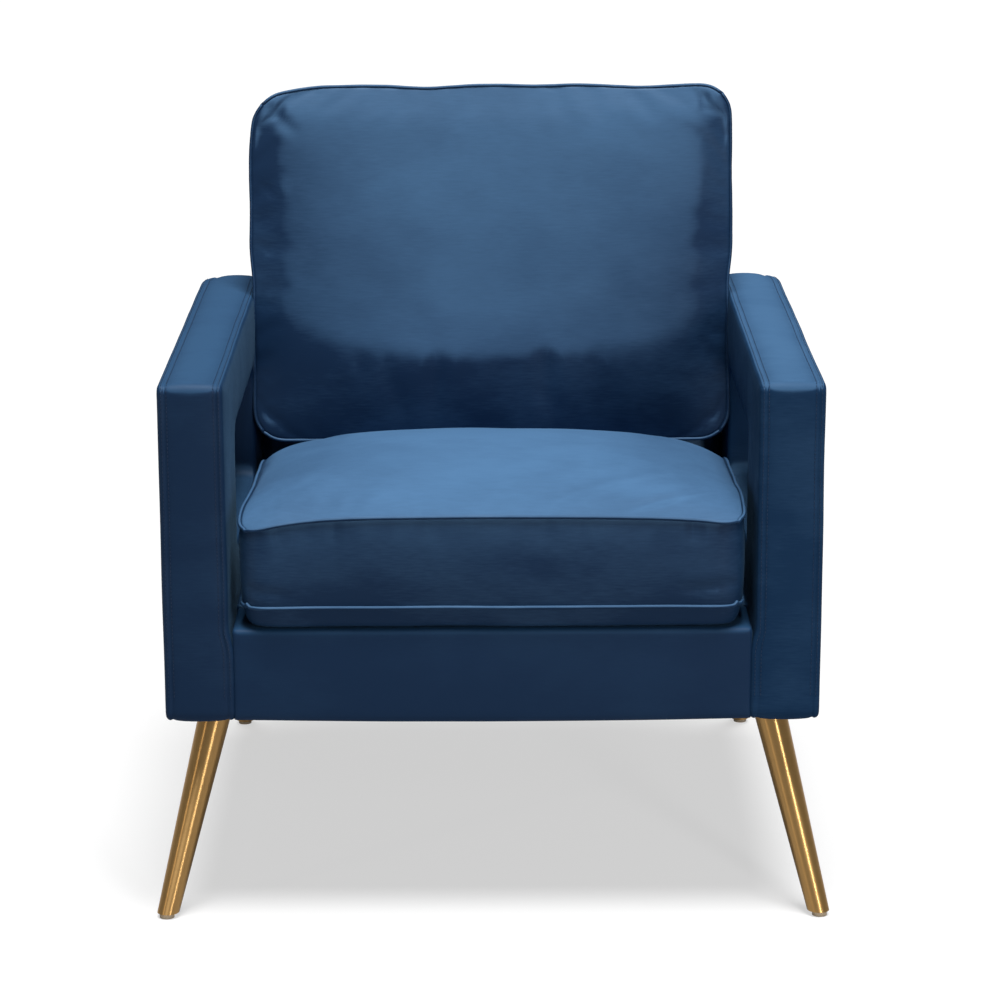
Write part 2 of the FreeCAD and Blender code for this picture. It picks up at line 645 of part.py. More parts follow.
def back_foam(hollow, cavity):
    """Four boards: one on the face, one on each side and one over the top."""
    blank = combine("Part::Cut", "back_foam_blank", hollow, cavity)
    far = ("-skin_half", "skin_half")
    low, top = ("-400", "back_rise + 10"), "back_rise - cloth - back_pad"
    face = block("foam_face_zone", far, ("-5", "cloth + back_pad"), low, frame=BACK_FRAME)
    cap = block("foam_cap_zone", far, ("cloth + back_pad", "200"), (top, "back_rise + 10"), frame=BACK_FRAME)
    boards = [combine("Part::Common", "foam_face", blank, face), combine("Part::Common", "foam_cap", blank, cap)]
    for word, side in SIDES:
        x = span(side, "0", "skin_half")
        zone = block(f"foam_side_zone_{word}", x, ("cloth + back_pad", "200"), ("-400", top), frame=BACK_FRAME)
        boards.append(combine("Part::Common", f"foam_side_{word}", blank, zone))
    return join("Part::Compound", "back_boards", boards)


back_panel()

# ---------------------------------------------------------------------------------------- legs


def leg_cone(name, end, side, axis_depth, shrink):
    """A tapered bar along the leg's axis, its radii less by shrink, past both of its ends."""
    out, back = (f"{end}_splay_across", f"{end}_splay_deep")
    back_sign = -1 if end == "front" else 1
    tip = FreeCAD.Vector(
        side * value_of(f"leg_top_across + {out}"),
        value_of(f"front + {axis_depth} + {back_sign} * {back}"),
        0,
    )
    top = FreeCAD.Vector(
        side * value_of("leg_top_across"), value_of(f"front + {axis_depth}"), value_of("body_bottom")
    )
    length = f"sqrt({out} ^ 2 + {back} ^ 2 + body_bottom ^ 2)"
    spare = f"(0.1 * {length})"
    growth = "0.1 * (leg_top_radius - leg_tip_radius)"
    cone = doc.addObject("Part::Cone", name)
    bind(cone, "Radius1", f"leg_tip_radius - {shrink} - {growth}")
    bind(cone, "Radius2", f"leg_top_radius - {shrink} + {growth}")
    bind(cone, "Height", f"{length} + 2 * {spare}")
    axis = (top - tip).normalize()
    cone.Placement = FreeCAD.Placement(
        tip - axis * value_of(spare), FreeCAD.Rotation(FreeCAD.Vector(0, 0, 1), axis)
    )
    return cone, tip


def level_slab(name, low, high):
    reach = ("-(arm_inner + 200)", "arm_inner + 200")
    return block(name, reach, (deep("-200"), deep("arm_depth + 200")), (low, high))


for place, end, side, axis_depth, plate_depth in LEGS:
    outer, tip = leg_cone(f"leg_{place}_outer", end, side, axis_depth, "0")
    bore, tip = leg_cone(f"leg_{place}_bore", end, side, axis_depth, "leg_wall")
    plug, tip = leg_cone(f"leg_{place}_plug", end, side, axis_depth, "(leg_wall + 0.1)")
    tube = combine("Part::Cut", f"leg_{place}_tube", outer, bore)
    length_zone = level_slab(f"leg_{place}_zone", "glide_height", PLATE_UNDER)
    keep(f"leg_{place}", combine("Part::Common", f"leg_{place}_cut", tube, length_zone))

    plug_zone = level_slab(f"glide_{place}_zone", "glide_height", "glide_height + glide_plug")
    stem = combine("Part::Common", f"glide_{place}_stem", plug, plug_zone)
    disc = rod(f"glide_{place}_disc", "z", (str(tip.x), str(tip.y), "0"), "glide_radius", "glide_height")
    keep(f"leg_glide_{place}", join("Part::MultiFuse", f"glide_{place}", [stem, disc]))

    x = span(side, "plate_inner", "plate_outer")
    y = (deep(f"{plate_depth} - plate_half_depth"), deep(f"{plate_depth} + plate_half_depth"))
    plate = block(f"plate_{place}_blank", x, y, (PLATE_UNDER, "body_bottom"))
    drilled(f"leg_plate_{place}", plate, PILOTS)

# ------------------------------------------------------------------------------------ cushions

# The seat cushion's top falls, behind its crown, to the line that the back cushion rests on.
FOOT_DEPTH = "(cushion_depth - (arm_height - cushion_foot) * tan(recline))"


def foot_height(depth):
    """Height of the seat cushion under the back cushion, at a depth."""
    return f"(cushion_foot - ({depth} - {FOOT_DEPTH}) * tan(recline) - rest_gap)"


def seat_block(name, inset):
    """The seat cushion: upright sides, a crown front to back and side to side, and a flat seat
    for the back cushion behind it."""
    body = doc.addObject("PartDesign::Body", name)
    front_end, rear_end = f"front + seat_front + {inset}", f"front + seat_rear - {inset}"
    corners = [
        (front_end, f"seat_under + {inset}"),
        (rear_end, f"seat_under + {inset}"),
        (rear_end, f"{foot_height('seat_rear')} - {inset}"),
        ("front + seat_knee", f"{foot_height('seat_knee')} - {inset}"),
        ("front + seat_shoulder", f"seat_shoulder_top - {inset}"),
        (front_end, f"seat_front_edge - {inset}"),
    ]
    sketch = outline(body, "YZ_Plane", name + "_side", corners, arcs={4: "seat_crown"})
    extrude(body, sketch, name + "_pad", f"2 * (seat_half - {inset})")

    def upright(middle, direction):
        return abs(direction.z) > 50 and abs(direction.y) < 0.01 and abs(middle.x) > 100

    round_edges(body, name + "_corners", f"seat_corner - {inset}", upright)
    start = ("0", deep("seat_front - 5"), "seat_crest - seat_cross_crown")
    crown = rod(name + "_crown", "y", start, f"seat_cross_crown - {inset}", "seat_rear - seat_front + 10")
    return combine("Part::Common", name + "_crowned", body, crown)


CUSHION_FRAME = FreeCAD.Placement(
    FreeCAD.Vector(0, value_of(f"front + {FOOT_DEPTH}"), value_of("cushion_foot")),
    FreeCAD.Rotation(FreeCAD.Vector(1, 0, 0), -value_of("recline")),
)
MARGIN = "(2 * piping - 0.5)"


def crown_radius(half_width):
    """Radius of the crown that rises from the cushion's edge to its middle over half a width."""
    rise = "(cushion_middle - cushion_edge)"
    return f"(({half_width}) ^ 2 + {rise} ^ 2) / (2 * {rise})"


def back_block(name, inset):
    """The back cushion in its own reclined frame: a slab with round corners, crowned both ways on
    both faces."""
    body = doc.addObject("PartDesign::Body", name)
    low, high = f"{MARGIN} + {inset}", f"cushion_length - {MARGIN} - {inset}"
    half = f"(cushion_half - {inset})"
    sketch = outline(body, "XZ_Plane", name + "_face", rectangle(f"-{half}", half, low, high))
    extrude(body, sketch, name + "_slab", f"2 * (cushion_middle - {inset})")

    def through(middle, direction):
        return abs(direction.y) > 50

    round_edges(body, name + "_corners", f"cushion_corner - {inset}", through)
    body.Placement = CUSHION_FRAME
    pieces = [body]
    centre = "cushion_length / 2"
    for face, sign in (("front", 1), ("rear", -1)):
        tall = crown_radius(f"cushion_length / 2 - {MARGIN}")
        wide = crown_radius("cushion_half")
        y_tall = f"{sign} * ({tall} - cushion_middle)"
        y_wide = f"{sign} * ({wide} - cushion_middle)"
        pieces.append(rod(f"{name}_{face}_tall", "x", ("-400", y_tall, centre), f"{tall} - {inset}", 800,
                          frame=CUSHION_FRAME))
        pieces.append(rod(f"{name}_{face}_wide", "z", ("0", y_wide, "-100"), f"{wide} - {inset}", 700,
                          frame=CUSHION_FRAME))
    return join("Part::MultiCommon", name + "_crowned", pieces)


def piping_loop(name, half_width, half_height, corner, placement):
    """A round cord bent into a rectangle with round corners, flat in its own XY plane."""
    w, d, r = half_width, half_height, corner
    edges = []
    diagonal = r * (1 - 0.5**0.5)
    for x, y in ((1, -1), (1, 1), (-1, 1), (-1, -1)):
        before = FreeCAD.Vector(x * w, y * (d - r), 0)
        after = FreeCAD.Vector(x * (w - r), y * d, 0)
        if x * y < 0:
            before, after = after, before
        bend = FreeCAD.Vector(x * (w - diagonal), y * (d - diagonal), 0)
        if edges:
            edges.append(Part.LineSegment(edges[-1].Vertexes[-1].Point, before).toShape())
        edges.append(Part.Arc(before, bend, after).toShape())
    edges.append(Part.LineSegment(edges[-1].Vertexes[-1].Point, edges[0].Vertexes[0].Point).toShape())
    path = Part.Wire(edges)
    start = edges[0].Vertexes[0].Point
    section = Part.Wire(Part.makeCircle(value_of("piping"), start, FreeCAD.Vector(1, 0, 0)))
    loop = doc.addObject("Part::Feature", name)
    loop.Shape = path.makePipeShell([section], True, True)
    loop.Placement = placement
    return loop


def zip_parts(name, frame, face, height):
    """A zip along X on a face that looks along the frame's +Y, closed, its slider at the left end."""
    low, high = f"({height} - zip_width / 2)", f"({height} + zip_width / 2)"
    back = f"({face} + zip_thickness)"
    chain = block(name + "_chain_strip", ("-zip_half", "zip_half"), (face, back), (low, high), frame=frame)
    keep(name + "_zip_chain", chain)
    near = f"{back} + slider_gap"
    body = block(name + "_slider_body", ("-zip_half", "slider - zip_half"), (near, f"{near} + 3"),
                 (f"{low} - 2", f"{high} + 2"), frame=frame)
    tab = block(name + "_slider_tab", ("-zip_half + 4", "-zip_half + 10"), (f"{near} + 3", f"{near} + 4.5"),
                (f"{low} - 12", high), frame=frame)
    keep(name + "_zip_slider", join("Part::MultiFuse", name + "_slider", [body, tab]))


def seat_cushion():
    outer, core = seat_block("seat_outer", "0"), seat_block("seat_core", "cloth")
    keep("seat_cushion_cover", combine("Part::Cut", "seat_case", outer, core))
    keep("seat_cushion_core", core)
    away = value_of("piping + piping_gap")
    half = value_of("seat_half") + away
    half_depth = value_of("(seat_rear - seat_front) / 2") + away
    corner = value_of("seat_corner") + away
    middle = value_of("front + (seat_rear + seat_front) / 2")
    top_front, top_rear = value_of("seat_front_edge - 6"), value_of(f"{foot_height('seat_rear')} - 12")
    fall = FreeCAD.Vector(0, 2 * half_depth, top_rear - top_front)
    tilt = FreeCAD.Rotation(FreeCAD.Vector(0, 1, 0), fall)
    for word, height, half_run, turn in (
        ("top", (top_front + top_rear) / 2, fall.Length / 2, tilt),
        ("bottom", value_of("seat_under + 28"), half_depth, FreeCAD.Rotation()),
    ):
        placement = FreeCAD.Placement(FreeCAD.Vector(0, middle, height), turn)
        loop = piping_loop(f"seat_piping_{word}", half, half_run, corner, placement)
        keep(f"seat_cushion_welt_{word}", loop)
    upright = FreeCAD.Placement(FreeCAD.Vector(0, value_of("front"), 0), FreeCAD.Rotation())
    zip_parts("seat_cushion", upright, "(seat_rear + 0.2)", "(seat_under + 48)")


def back_cushion():
    outer, core = back_block("cushion_outer", "0"), back_block("cushion_core", "cloth")
    keep("back_cushion_cover", combine("Part::Cut", "cushion_case", outer, core))
    keep("back_cushion_core", core)
    away = value_of("piping") * 0.8
    half = value_of("cushion_half") + away
    half_length = value_of(f"cushion_length / 2 - {MARGIN}") + away
    corner = value_of("cushion_corner") + away
    lie_flat = FreeCAD.Rotation(FreeCAD.Vector(1, 0, 0), 90)
    for word, sign in (("front", -1), ("rear", 1)):
        depth = sign * (value_of("cushion_edge") + away)
        local = FreeCAD.Placement(FreeCAD.Vector(0, depth, value_of("cushion_length / 2")), lie_flat)
        placement = CUSHION_FRAME.multiply(local)
        loop = piping_loop(f"cushion_piping_{word}", half, half_length, corner, placement)
        keep(f"back_cushion_welt_{word}", loop)
    zip_parts("back_cushion", CUSHION_FRAME, "(cushion_edge + 3.6)", "26")


seat_cushion()
back_cushion()

# -------------------------------------------------------------------------------------- output

doc.recompute()
for thing in doc.Objects:
    if "Invalid" in thing.State or "Error" in thing.State:
        raise SystemExit(f"{thing.Name} failed: {thing.State}")
os.makedirs("parts", exist_ok=True)
for name, thing in sorted(NODES.items()):
    shape = thing.Shape
    if shape.isNull() or not shape.isValid() or shape.Volume <= 0 or not shape.Solids:
        raise SystemExit(f"{name} has no valid solid")
    shape.exportStep(f"parts/{name}.step")
    print(f"{name}: {len(shape.Solids)} solid(s), {shape.Volume / 1000:.1f} cm3")
print(len(NODES), "nodes")
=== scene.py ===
# %% [markdown]
# # An upholstered armchair in navy velvet
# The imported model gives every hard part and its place. This lesson dresses it: padded arms with a
# window in each, a piped seat cushion and back cushion, brushed brass legs, a pale studio.
# Everything is in metres, +X to the right seen from the front, +Y to the back, +Z up.

# %% Load the fixed frame
import json
import math

import bmesh
import bpy
import numpy as np
from mathutils import Matrix, Vector
from mathutils.kdtree import KDTree


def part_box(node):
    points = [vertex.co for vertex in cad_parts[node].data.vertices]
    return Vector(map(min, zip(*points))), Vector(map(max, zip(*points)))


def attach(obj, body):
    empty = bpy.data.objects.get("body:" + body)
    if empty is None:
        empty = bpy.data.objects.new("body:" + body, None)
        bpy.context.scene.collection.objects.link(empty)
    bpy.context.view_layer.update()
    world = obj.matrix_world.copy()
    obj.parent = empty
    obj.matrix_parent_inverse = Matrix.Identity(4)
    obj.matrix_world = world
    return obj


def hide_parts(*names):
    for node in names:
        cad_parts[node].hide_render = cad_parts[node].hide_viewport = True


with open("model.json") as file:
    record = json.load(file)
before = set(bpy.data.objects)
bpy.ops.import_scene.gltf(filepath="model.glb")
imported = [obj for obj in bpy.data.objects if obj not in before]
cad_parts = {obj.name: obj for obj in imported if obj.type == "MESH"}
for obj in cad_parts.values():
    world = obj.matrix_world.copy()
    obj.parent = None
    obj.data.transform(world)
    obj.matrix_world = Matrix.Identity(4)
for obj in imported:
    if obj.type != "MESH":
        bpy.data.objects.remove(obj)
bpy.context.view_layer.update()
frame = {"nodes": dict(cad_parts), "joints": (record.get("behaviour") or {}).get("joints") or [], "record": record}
MM = 0.001

# %% [markdown]
# ## Landmarks
# Positions come from the frame, never from guesses: the arm's cover gives its front, rear, bottom
# and top, and the boards inside it give the window, once their padding is added.

# %% Read the landmarks
arm_low, arm_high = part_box("arm_cover_right")
FRONT, REAR = arm_low.y, arm_high.y
INNER, OUTER = arm_low.x, arm_high.x
FLOOR_EDGE, ARM_TOP = arm_low.z, arm_high.z
PADDING = 11.5 * MM
WINDOW_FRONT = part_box("arm_front_post_right")[1].y + PADDING
WINDOW_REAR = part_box("arm_rear_post_right")[0].y - PADDING
WINDOW_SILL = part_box("arm_lower_rail_right")[1].z + PADDING
WINDOW_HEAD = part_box("arm_top_rail_right")[0].z - PADDING
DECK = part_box("deck_cover")[1].z
lift_axis = next(j["axis"] for j in frame["joints"] if j["name"] == "back_cushion_lift")
RECLINE = math.atan2(lift_axis[1], lift_axis[2])
print(f"arms {OUTER * 2:.3f} m wide, window {WINDOW_REAR - WINDOW_FRONT:.3f} m long, "
      f"{WINDOW_HEAD - WINDOW_SILL:.3f} m high")
print(f"recline {math.degrees(RECLINE):.1f} degrees")


def depth(mm):
    """The Y that lies this many millimetres behind the arms' front faces."""
    return FRONT + mm * MM


# %% [markdown]
# ## The studio
# A product shot on a seamless pale floor: the floor reaches far enough to fill the picture. A long
# lens a few metres away, slightly above the chair, keeps its uprights nearly parallel.

# %% Camera
scene = bpy.context.scene
scene.view_settings.view_transform = "Standard"
SENSOR_WIDTH = 36.0
FOCAL_IN_PICTURE_WIDTHS = 3.4
CAMERA_AWAY = 3.683
CAMERA_UP = 1.455
CAMERA_PITCH = math.radians(14.59)
CAMERA_ROLL = math.radians(-0.22)
CAMERA_SHIFT = 0.0083
eye = bpy.data.cameras.new("camera")
eye.sensor_width = SENSOR_WIDTH
eye.lens = SENSOR_WIDTH * FOCAL_IN_PICTURE_WIDTHS
eye.shift_x = CAMERA_SHIFT
camera = bpy.data.objects.new("camera", eye)
scene.collection.objects.link(camera)
turn = Matrix.Rotation(math.pi / 2 - CAMERA_PITCH, 4, "X") @ Matrix.Rotation(CAMERA_ROLL, 4, "Z")
camera.matrix_world = Matrix.Translation((0, FRONT - CAMERA_AWAY, CAMERA_UP)) @ turn
scene.camera = camera
print(f"lens {eye.lens:.1f} mm, {CAMERA_AWAY} m in front of the arms")


# %% [markdown]
# ## Helpers for meshes
# Most covers here are grids of quads bent into shape with arrays, because a grid keeps its rows
# along the seams, and a seam is what the eye looks for on upholstery.

# %% Mesh from arrays
def add_mesh(name, points, faces):
    """An object made of points and of faces that name them by number."""
    mesh = bpy.data.meshes.new(name)
    rows = [tuple(p) for p in np.asarray(points, float)]
    mesh.from_pydata(rows, [], [tuple(map(int, f)) for f in faces])
    mesh.validate()
    mesh.update()
    mesh.shade_smooth()
    thing = bpy.data.objects.new(name, mesh)
    scene.collection.objects.link(thing)
    return thing


def edit_mesh(thing, work):
    """Opens the mesh for editing, does the work on it and puts it back."""
    bm = bmesh.new()
    bm.from_mesh(thing.data)
    work(bm)
    bm.to_mesh(thing.data)
    bm.free()


def turn_outward(thing):
    """Makes every face look outward."""
    edit_mesh(thing, lambda bm: bmesh.ops.recalc_face_normals(bm, faces=bm.faces))


def closed_mesh(name, points, faces):
    """A mesh without an open edge, its faces turned outward."""
    thing = add_mesh(name, points, faces)
    turn_outward(thing)
    return thing


def apply_modifiers(thing):
    """Replaces the mesh with what its modifiers make of it."""
    graph = bpy.context.evaluated_depsgraph_get()
    made = bpy.data.meshes.new_from_object(thing.evaluated_get(graph), depsgraph=graph)
    thing.modifiers.clear()
    thing.data = made
    made.shade_smooth()


def subdivide(thing):
    """Cuts every face in four and rounds the mesh. The points that it had keep their numbers."""
    modifier = thing.modifiers.new("smooth", "SUBSURF")
    modifier.levels = modifier.render_levels = 1
    apply_modifiers(thing)


def places(thing):
    """The mesh's points as an array, one row each."""
    flat = np.empty(len(thing.data.vertices) * 3)
    thing.data.vertices.foreach_get("co", flat)
    return flat.reshape(-1, 3)


def set_places(thing, points):
    """Moves the mesh's points to the places given."""
    thing.data.vertices.foreach_set("co", np.asarray(points, float).ravel())
    thing.data.update()


def normals(thing):
    """The mesh's normals at its points, one row each."""
    flat = np.empty(len(thing.data.vertices) * 3)
    thing.data.vertex_normals.foreach_get("vector", flat)
    return flat.reshape(-1, 3)


def wrap_quads(rows, columns, close_rows=True):
    """Quads of a grid that closes on itself across its columns, and along its rows if asked."""
    faces = []
    for r in range(rows if close_rows else rows - 1):
        for c in range(columns):
            after_r, after_c = (r + 1) % rows, (c + 1) % columns
            faces.append((r * columns + c, r * columns + after_c, after_r * columns + after_c,
                          after_r * columns + c))
    return faces


# %% Faces of flat grids
def grid_quads(nx, ny, keep=lambda i, j: True):
    """Quads of an open grid of nx by ny points, numbered along y first."""
    return [(i * ny + j, (i + 1) * ny + j, (i + 1) * ny + j + 1, i * ny + j + 1)
            for i in range(nx - 1) for j in range(ny - 1) if keep(i, j)]


def two_layers(nx, ny):
    """Quads of one grid and, the other way round, of a second one numbered after it."""
    under = nx * ny
    faces = []
    for a, b, c, d in grid_quads(nx, ny):
        faces += [(a, b, c, d), (under + d, under + c, under + b, under + a)]
    return faces


def border_of(nx, ny):
    """Numbers of a grid's outer points, in order round it."""
    border = [i * ny for i in range(nx)] + [(nx - 1) * ny + j for j in range(1, ny)]
    return border + [i * ny + ny - 1 for i in range(nx - 2, -1, -1)] + list(range(ny - 2, 0, -1))


def band_quads(near, far):
    """Quads between two closed rows of point numbers."""
    return list(zip(near, far, far[1:] + far[:1], near[1:] + near[:1]))


def thin_sheet(name, points, nx, ny):
    """A closed sheet of two grids of points, the upper or outer one first."""
    border = border_of(nx, ny)
    faces = two_layers(nx, ny) + band_quads(border, [nx * ny + k for k in border])
    return closed_mesh(name, points, faces)


def stack(name, rings):
    """Rings of equal length, one after another, closed at both ends by quads across them."""
    n = len(rings[0])
    faces = wrap_quads(len(rings), n, close_rows=False)
    for base in (0, (len(rings) - 1) * n):
        for k in range(n // 2 - 1):
            faces.append((base + k, base + k + 1, base + n - 2 - k, base + n - 1 - k))
    return closed_mesh(name, np.vstack(rings), faces)


# %% Soft unevenness
def ripple(points, wavelength, seed, waves=7):
    """A smooth random field from -1 to 1, the same each time: a few plane waves added up."""
    draw = np.random.default_rng(seed)
    total = np.zeros(len(points))
    for _ in range(waves):
        way = draw.normal(size=3)
        way *= 2 * math.pi / wavelength * draw.uniform(0.6, 1.5) / np.linalg.norm(way)
        total += np.sin(points @ way + draw.uniform(0, 2 * math.pi))
    return total / waves**0.5 / 1.6


def roughen(thing, *waves):
    """Moves points along their normals. A wave is its length, its seed and its height."""
    points = places(thing)
    lift = sum(ripple(points, length, seed) * height for length, seed, height in waves)
    set_places(thing, points + normals(thing) * lift[:, None])


def smooth_step(low, high, value):
    """0 up to low, 1 from high on, and an S between them."""
    t = np.clip((value - low) / (high - low), 0, 1)
    return t * t * (3 - 2 * t)


def through(places_and_values, value):
    """A smooth curve through a few (place, value) pairs, for an array of places."""
    x = np.array([p for p, v in places_and_values], float)
    y = np.array([v for p, v in places_and_values], float)
    slope = np.gradient(y, x)
    i = np.clip(np.searchsorted(x, value) - 1, 0, len(x) - 2)
    step = x[i + 1] - x[i]
    t = np.clip((value - x[i]) / step, 0, 1)
    start, end = (1 + 2 * t) * (1 - t) ** 2, t * t * (3 - 2 * t)
    return (start * y[i] + t * (1 - t) ** 2 * step * slope[i] + end * y[i + 1]
            + t * t * (t - 1) * step * slope[i + 1])


# %% A cord along a closed line
CORD_SIDES = 10


def cord_mesh(name, line, radius):
    """A round cord that follows a closed line of points."""
    line = np.asarray(line, float)
    along = np.roll(line, -1, 0) - np.roll(line, 1, 0)
    along /= np.linalg.norm(along, axis=1)[:, None]
    up = np.array([0.0, 0.0, 1.0]) if abs(along[0, 2]) < 0.8 else np.array([0.0, 1.0, 0.0])
    angle = np.linspace(0, 2 * math.pi, CORD_SIDES, endpoint=False)[:, None]
    rings = []
    for point, tangent in zip(line, along):
        up = up - tangent * (up @ tangent)
        up /= np.linalg.norm(up)
        rings.append(point + radius * (np.cos(angle) * up + np.sin(angle) * np.cross(tangent, up)))
    faces = wrap_quads(len(line), CORD_SIDES, close_rows=False)
    last = (len(line) - 1) * CORD_SIDES
    turned = np.roll(np.arange(CORD_SIDES), -nearest_turn(rings[-1], rings[0])).tolist()
    faces += [(last + c, last + (c + 1) % CORD_SIDES, turned[(c + 1) % CORD_SIDES], turned[c])
              for c in range(CORD_SIDES)]
    return closed_mesh(name, np.vstack(rings), faces)


def nearest_turn(last, first):
    """How far to turn the first ring so that it meets the last one without a twist."""
    gaps = [np.linalg.norm(np.roll(first, -k, 0) - last, axis=1).sum() for k in range(len(first))]
    return int(np.argmin(gaps))


# %% [markdown]
# ## Surfaces shared by several materials
# Each group is built once and placed in every material that needs it. A group puts out masks,
# roughness and height only; colour and the shader stay in the material. All of them read the
# object's own coordinates, so the texture's scale is real and no unwrapping is needed.

# %% Node group helpers
def new_group(name, inputs, outputs):
    """A node group. An input is its name and its number, or None for a vector."""
    group = bpy.data.node_groups.new(name, "ShaderNodeTree")
    for socket, default in inputs:
        kind = "NodeSocketVector" if default is None else "NodeSocketFloat"
        made = group.interface.new_socket(name=socket, in_out="INPUT", socket_type=kind)
        if default is not None:
            made.default_value = default
    for socket in outputs:
        group.interface.new_socket(name=socket, in_out="OUTPUT", socket_type="NodeSocketFloat")
    return group, group.nodes.new("NodeGroupInput"), group.nodes.new("NodeGroupOutput")


def math_node(tree, operation, a, b=None, clamp=False):
    """One sum. a and b are numbers or sockets."""
    node = tree.nodes.new("ShaderNodeMath")
    node.operation = operation
    node.use_clamp = clamp
    for socket, value in zip(node.inputs, (a, b)):
        if value is None:
            continue
        if isinstance(value, (int, float)):
            socket.default_value = value
        else:
            tree.links.new(value, socket)
    return node.outputs[0]


def stretched(tree, vector, scale):
    """The vector scaled by three numbers."""
    node = tree.nodes.new("ShaderNodeVectorMath")
    node.operation = "MULTIPLY"
    tree.links.new(vector, node.inputs[0])
    node.inputs[1].default_value = scale
    return node.outputs[0]


def noise_node(tree, vector, scale, detail=2.0, rough=0.5):
    """Noise from 0 to 1. The scale is a number or a socket."""
    node = tree.nodes.new("ShaderNodeTexNoise")
    node.inputs["Detail"].default_value = detail
    node.inputs["Roughness"].default_value = rough
    tree.links.new(vector, node.inputs["Vector"])
    if isinstance(scale, (int, float)):
        node.inputs["Scale"].default_value = scale
    else:
        tree.links.new(scale, node.inputs["Scale"])
    return node.outputs["Fac"]


def spread(tree, value, low, high, out_low=0.0, out_high=1.0):
    """Stretches the range from low to high to another one, softly at its ends."""
    node = tree.nodes.new("ShaderNodeMapRange")
    node.interpolation_type = "SMOOTHSTEP"
    tree.links.new(value, node.inputs["Value"])
    sockets = ("From Min", "From Max", "To Min", "To Max")
    for socket, number in zip(sockets, (low, high, out_low, out_high)):
        node.inputs[socket].default_value = number
    return node.outputs["Result"]


# %% Velvet pile and painted light
# The velvet's colour is painted by the way its face turns: lighter facing up, darker turned aside or tilted
# forward, standing in for light from above.
PAINTED_SHADE_ASIDE = 1.1
PAINTED_SHADE_AT, PAINTED_LIGHT_AT = -0.01, 0.32
PAINTED_DARKEST, PAINTED_LIGHTEST, PAINTED_LIGHT_ON_LEVEL = 0.04, 0.72, 0.26
PATCH_STRENGTH, STREAK_STRENGTH = 0.19, 0.22


def make_pile_and_painted_light():
    """Velvet: painted light where the cloth faces up and painted shade where it turns aside or tilts forward, as
    if lit from above, with brushed patches where the pile leans another way, fine level streaks, and fibre."""
    inputs = [("Vector", None), ("Patch Scale", 9.0), ("Facing", None)]
    group, given, out = new_group("pile", inputs, ["Shade", "Roughness", "Height"])

    def node(operation, a, b=None, clamp=False):
        return math_node(group, operation, a, b, clamp)

    vector = given.outputs["Vector"]
    swept = stretched(group, vector, (0.55, 0.8, 1.0))
    clouds = noise_node(group, swept, given.outputs["Patch Scale"], 3.0, 0.6)
    patches = spread(group, clouds, 0.32, 0.7)
    streaks = noise_node(group, stretched(group, vector, (60, 160, 520)), 1.0, 2.0, 0.6)
    fibre = noise_node(group, vector, 1400.0, 1.0, 0.5)
    facing = group.nodes.new("ShaderNodeSeparateXYZ")
    group.links.new(given.outputs["Facing"], facing.inputs[0])
    aside = node("MULTIPLY", node("ABSOLUTE", facing.outputs["X"]), PAINTED_SHADE_ASIDE)
    upward = node("SUBTRACT", facing.outputs["Z"], aside)
    # Painted light on faces that turn up and painted shade on faces that turn aside.
    painted_top_light = spread(group, upward, PAINTED_SHADE_AT, PAINTED_LIGHT_AT, PAINTED_DARKEST, PAINTED_LIGHTEST)
    back_tilt = node("ADD", upward, node("MULTIPLY", facing.outputs["Y"], 0.25))
    # More painted light on level tops, most where they tilt back.
    level = spread(group, back_tilt, 0.80, 1.02, 0.0, PAINTED_LIGHT_ON_LEVEL)
    lean = node("MULTIPLY", node("SUBTRACT", patches, 0.5), PATCH_STRENGTH)
    lines = node("MULTIPLY", node("SUBTRACT", streaks, 0.5), STREAK_STRENGTH)
    # The mix factor: painted light and shade, plus the pile's own patches and streaks.
    shade = node("ADD", node("ADD", lean, lines), node("ADD", painted_top_light, level), clamp=True)
    group.links.new(shade, out.inputs["Shade"])
    group.links.new(spread(group, patches, 0, 1, 0.62, 0.5), out.inputs["Roughness"])
    group.links.new(node("ADD", node("MULTIPLY", streaks, 0.6), fibre), out.inputs["Height"])
    return group


# %% Brushed lines, wood grain and weave
def weighted(group, a, share, b):
    """A share of one socket and the rest of another."""
    return math_node(group, "ADD", math_node(group, "MULTIPLY", a, share),
                     math_node(group, "MULTIPLY", b, 1 - share))


def make_brushed():
    """Metal: fine lines left by a belt that ran round the piece, and faint clouds."""
    group, given, out = new_group("brushed", [("Vector", None), ("Line Scale", 1.0)],
                                  ["Mask", "Roughness", "Height"])
    lines = stretched(group, given.outputs["Vector"], (60, 60, 900))
    fine = noise_node(group, lines, given.outputs["Line Scale"], 3.0, 0.7)
    cloud = noise_node(group, given.outputs["Vector"], 24.0, 2.0, 0.5)
    group.links.new(weighted(group, fine, 0.6, cloud), out.inputs["Mask"])
    group.links.new(spread(group, fine, 0.3, 0.7, 0.34, 0.37), out.inputs["Roughness"])
    group.links.new(fine, out.inputs["Height"])
    return group


def make_grain():
    """Sawn wood: rings stretched along the board, and pores."""
    group, given, out = new_group("grain", [("Vector", None), ("Ring Scale", 26.0)],
                                  ["Mask", "Roughness", "Height"])
    board = stretched(group, given.outputs["Vector"], (1.0, 0.25, 1.0))
    rings = noise_node(group, board, given.outputs["Ring Scale"], 4.0, 0.65)
    fine = stretched(group, given.outputs["Vector"], (900, 90, 900))
    pores = noise_node(group, fine, 1.0, 2.0, 0.5)
    mask = spread(group, weighted(group, rings, 0.75, pores), 0.35, 0.65)
    group.links.new(mask, out.inputs["Mask"])
    group.links.new(spread(group, pores, 0.2, 0.8, 0.55, 0.8), out.inputs["Roughness"])
    group.links.new(pores, out.inputs["Height"])
    return group


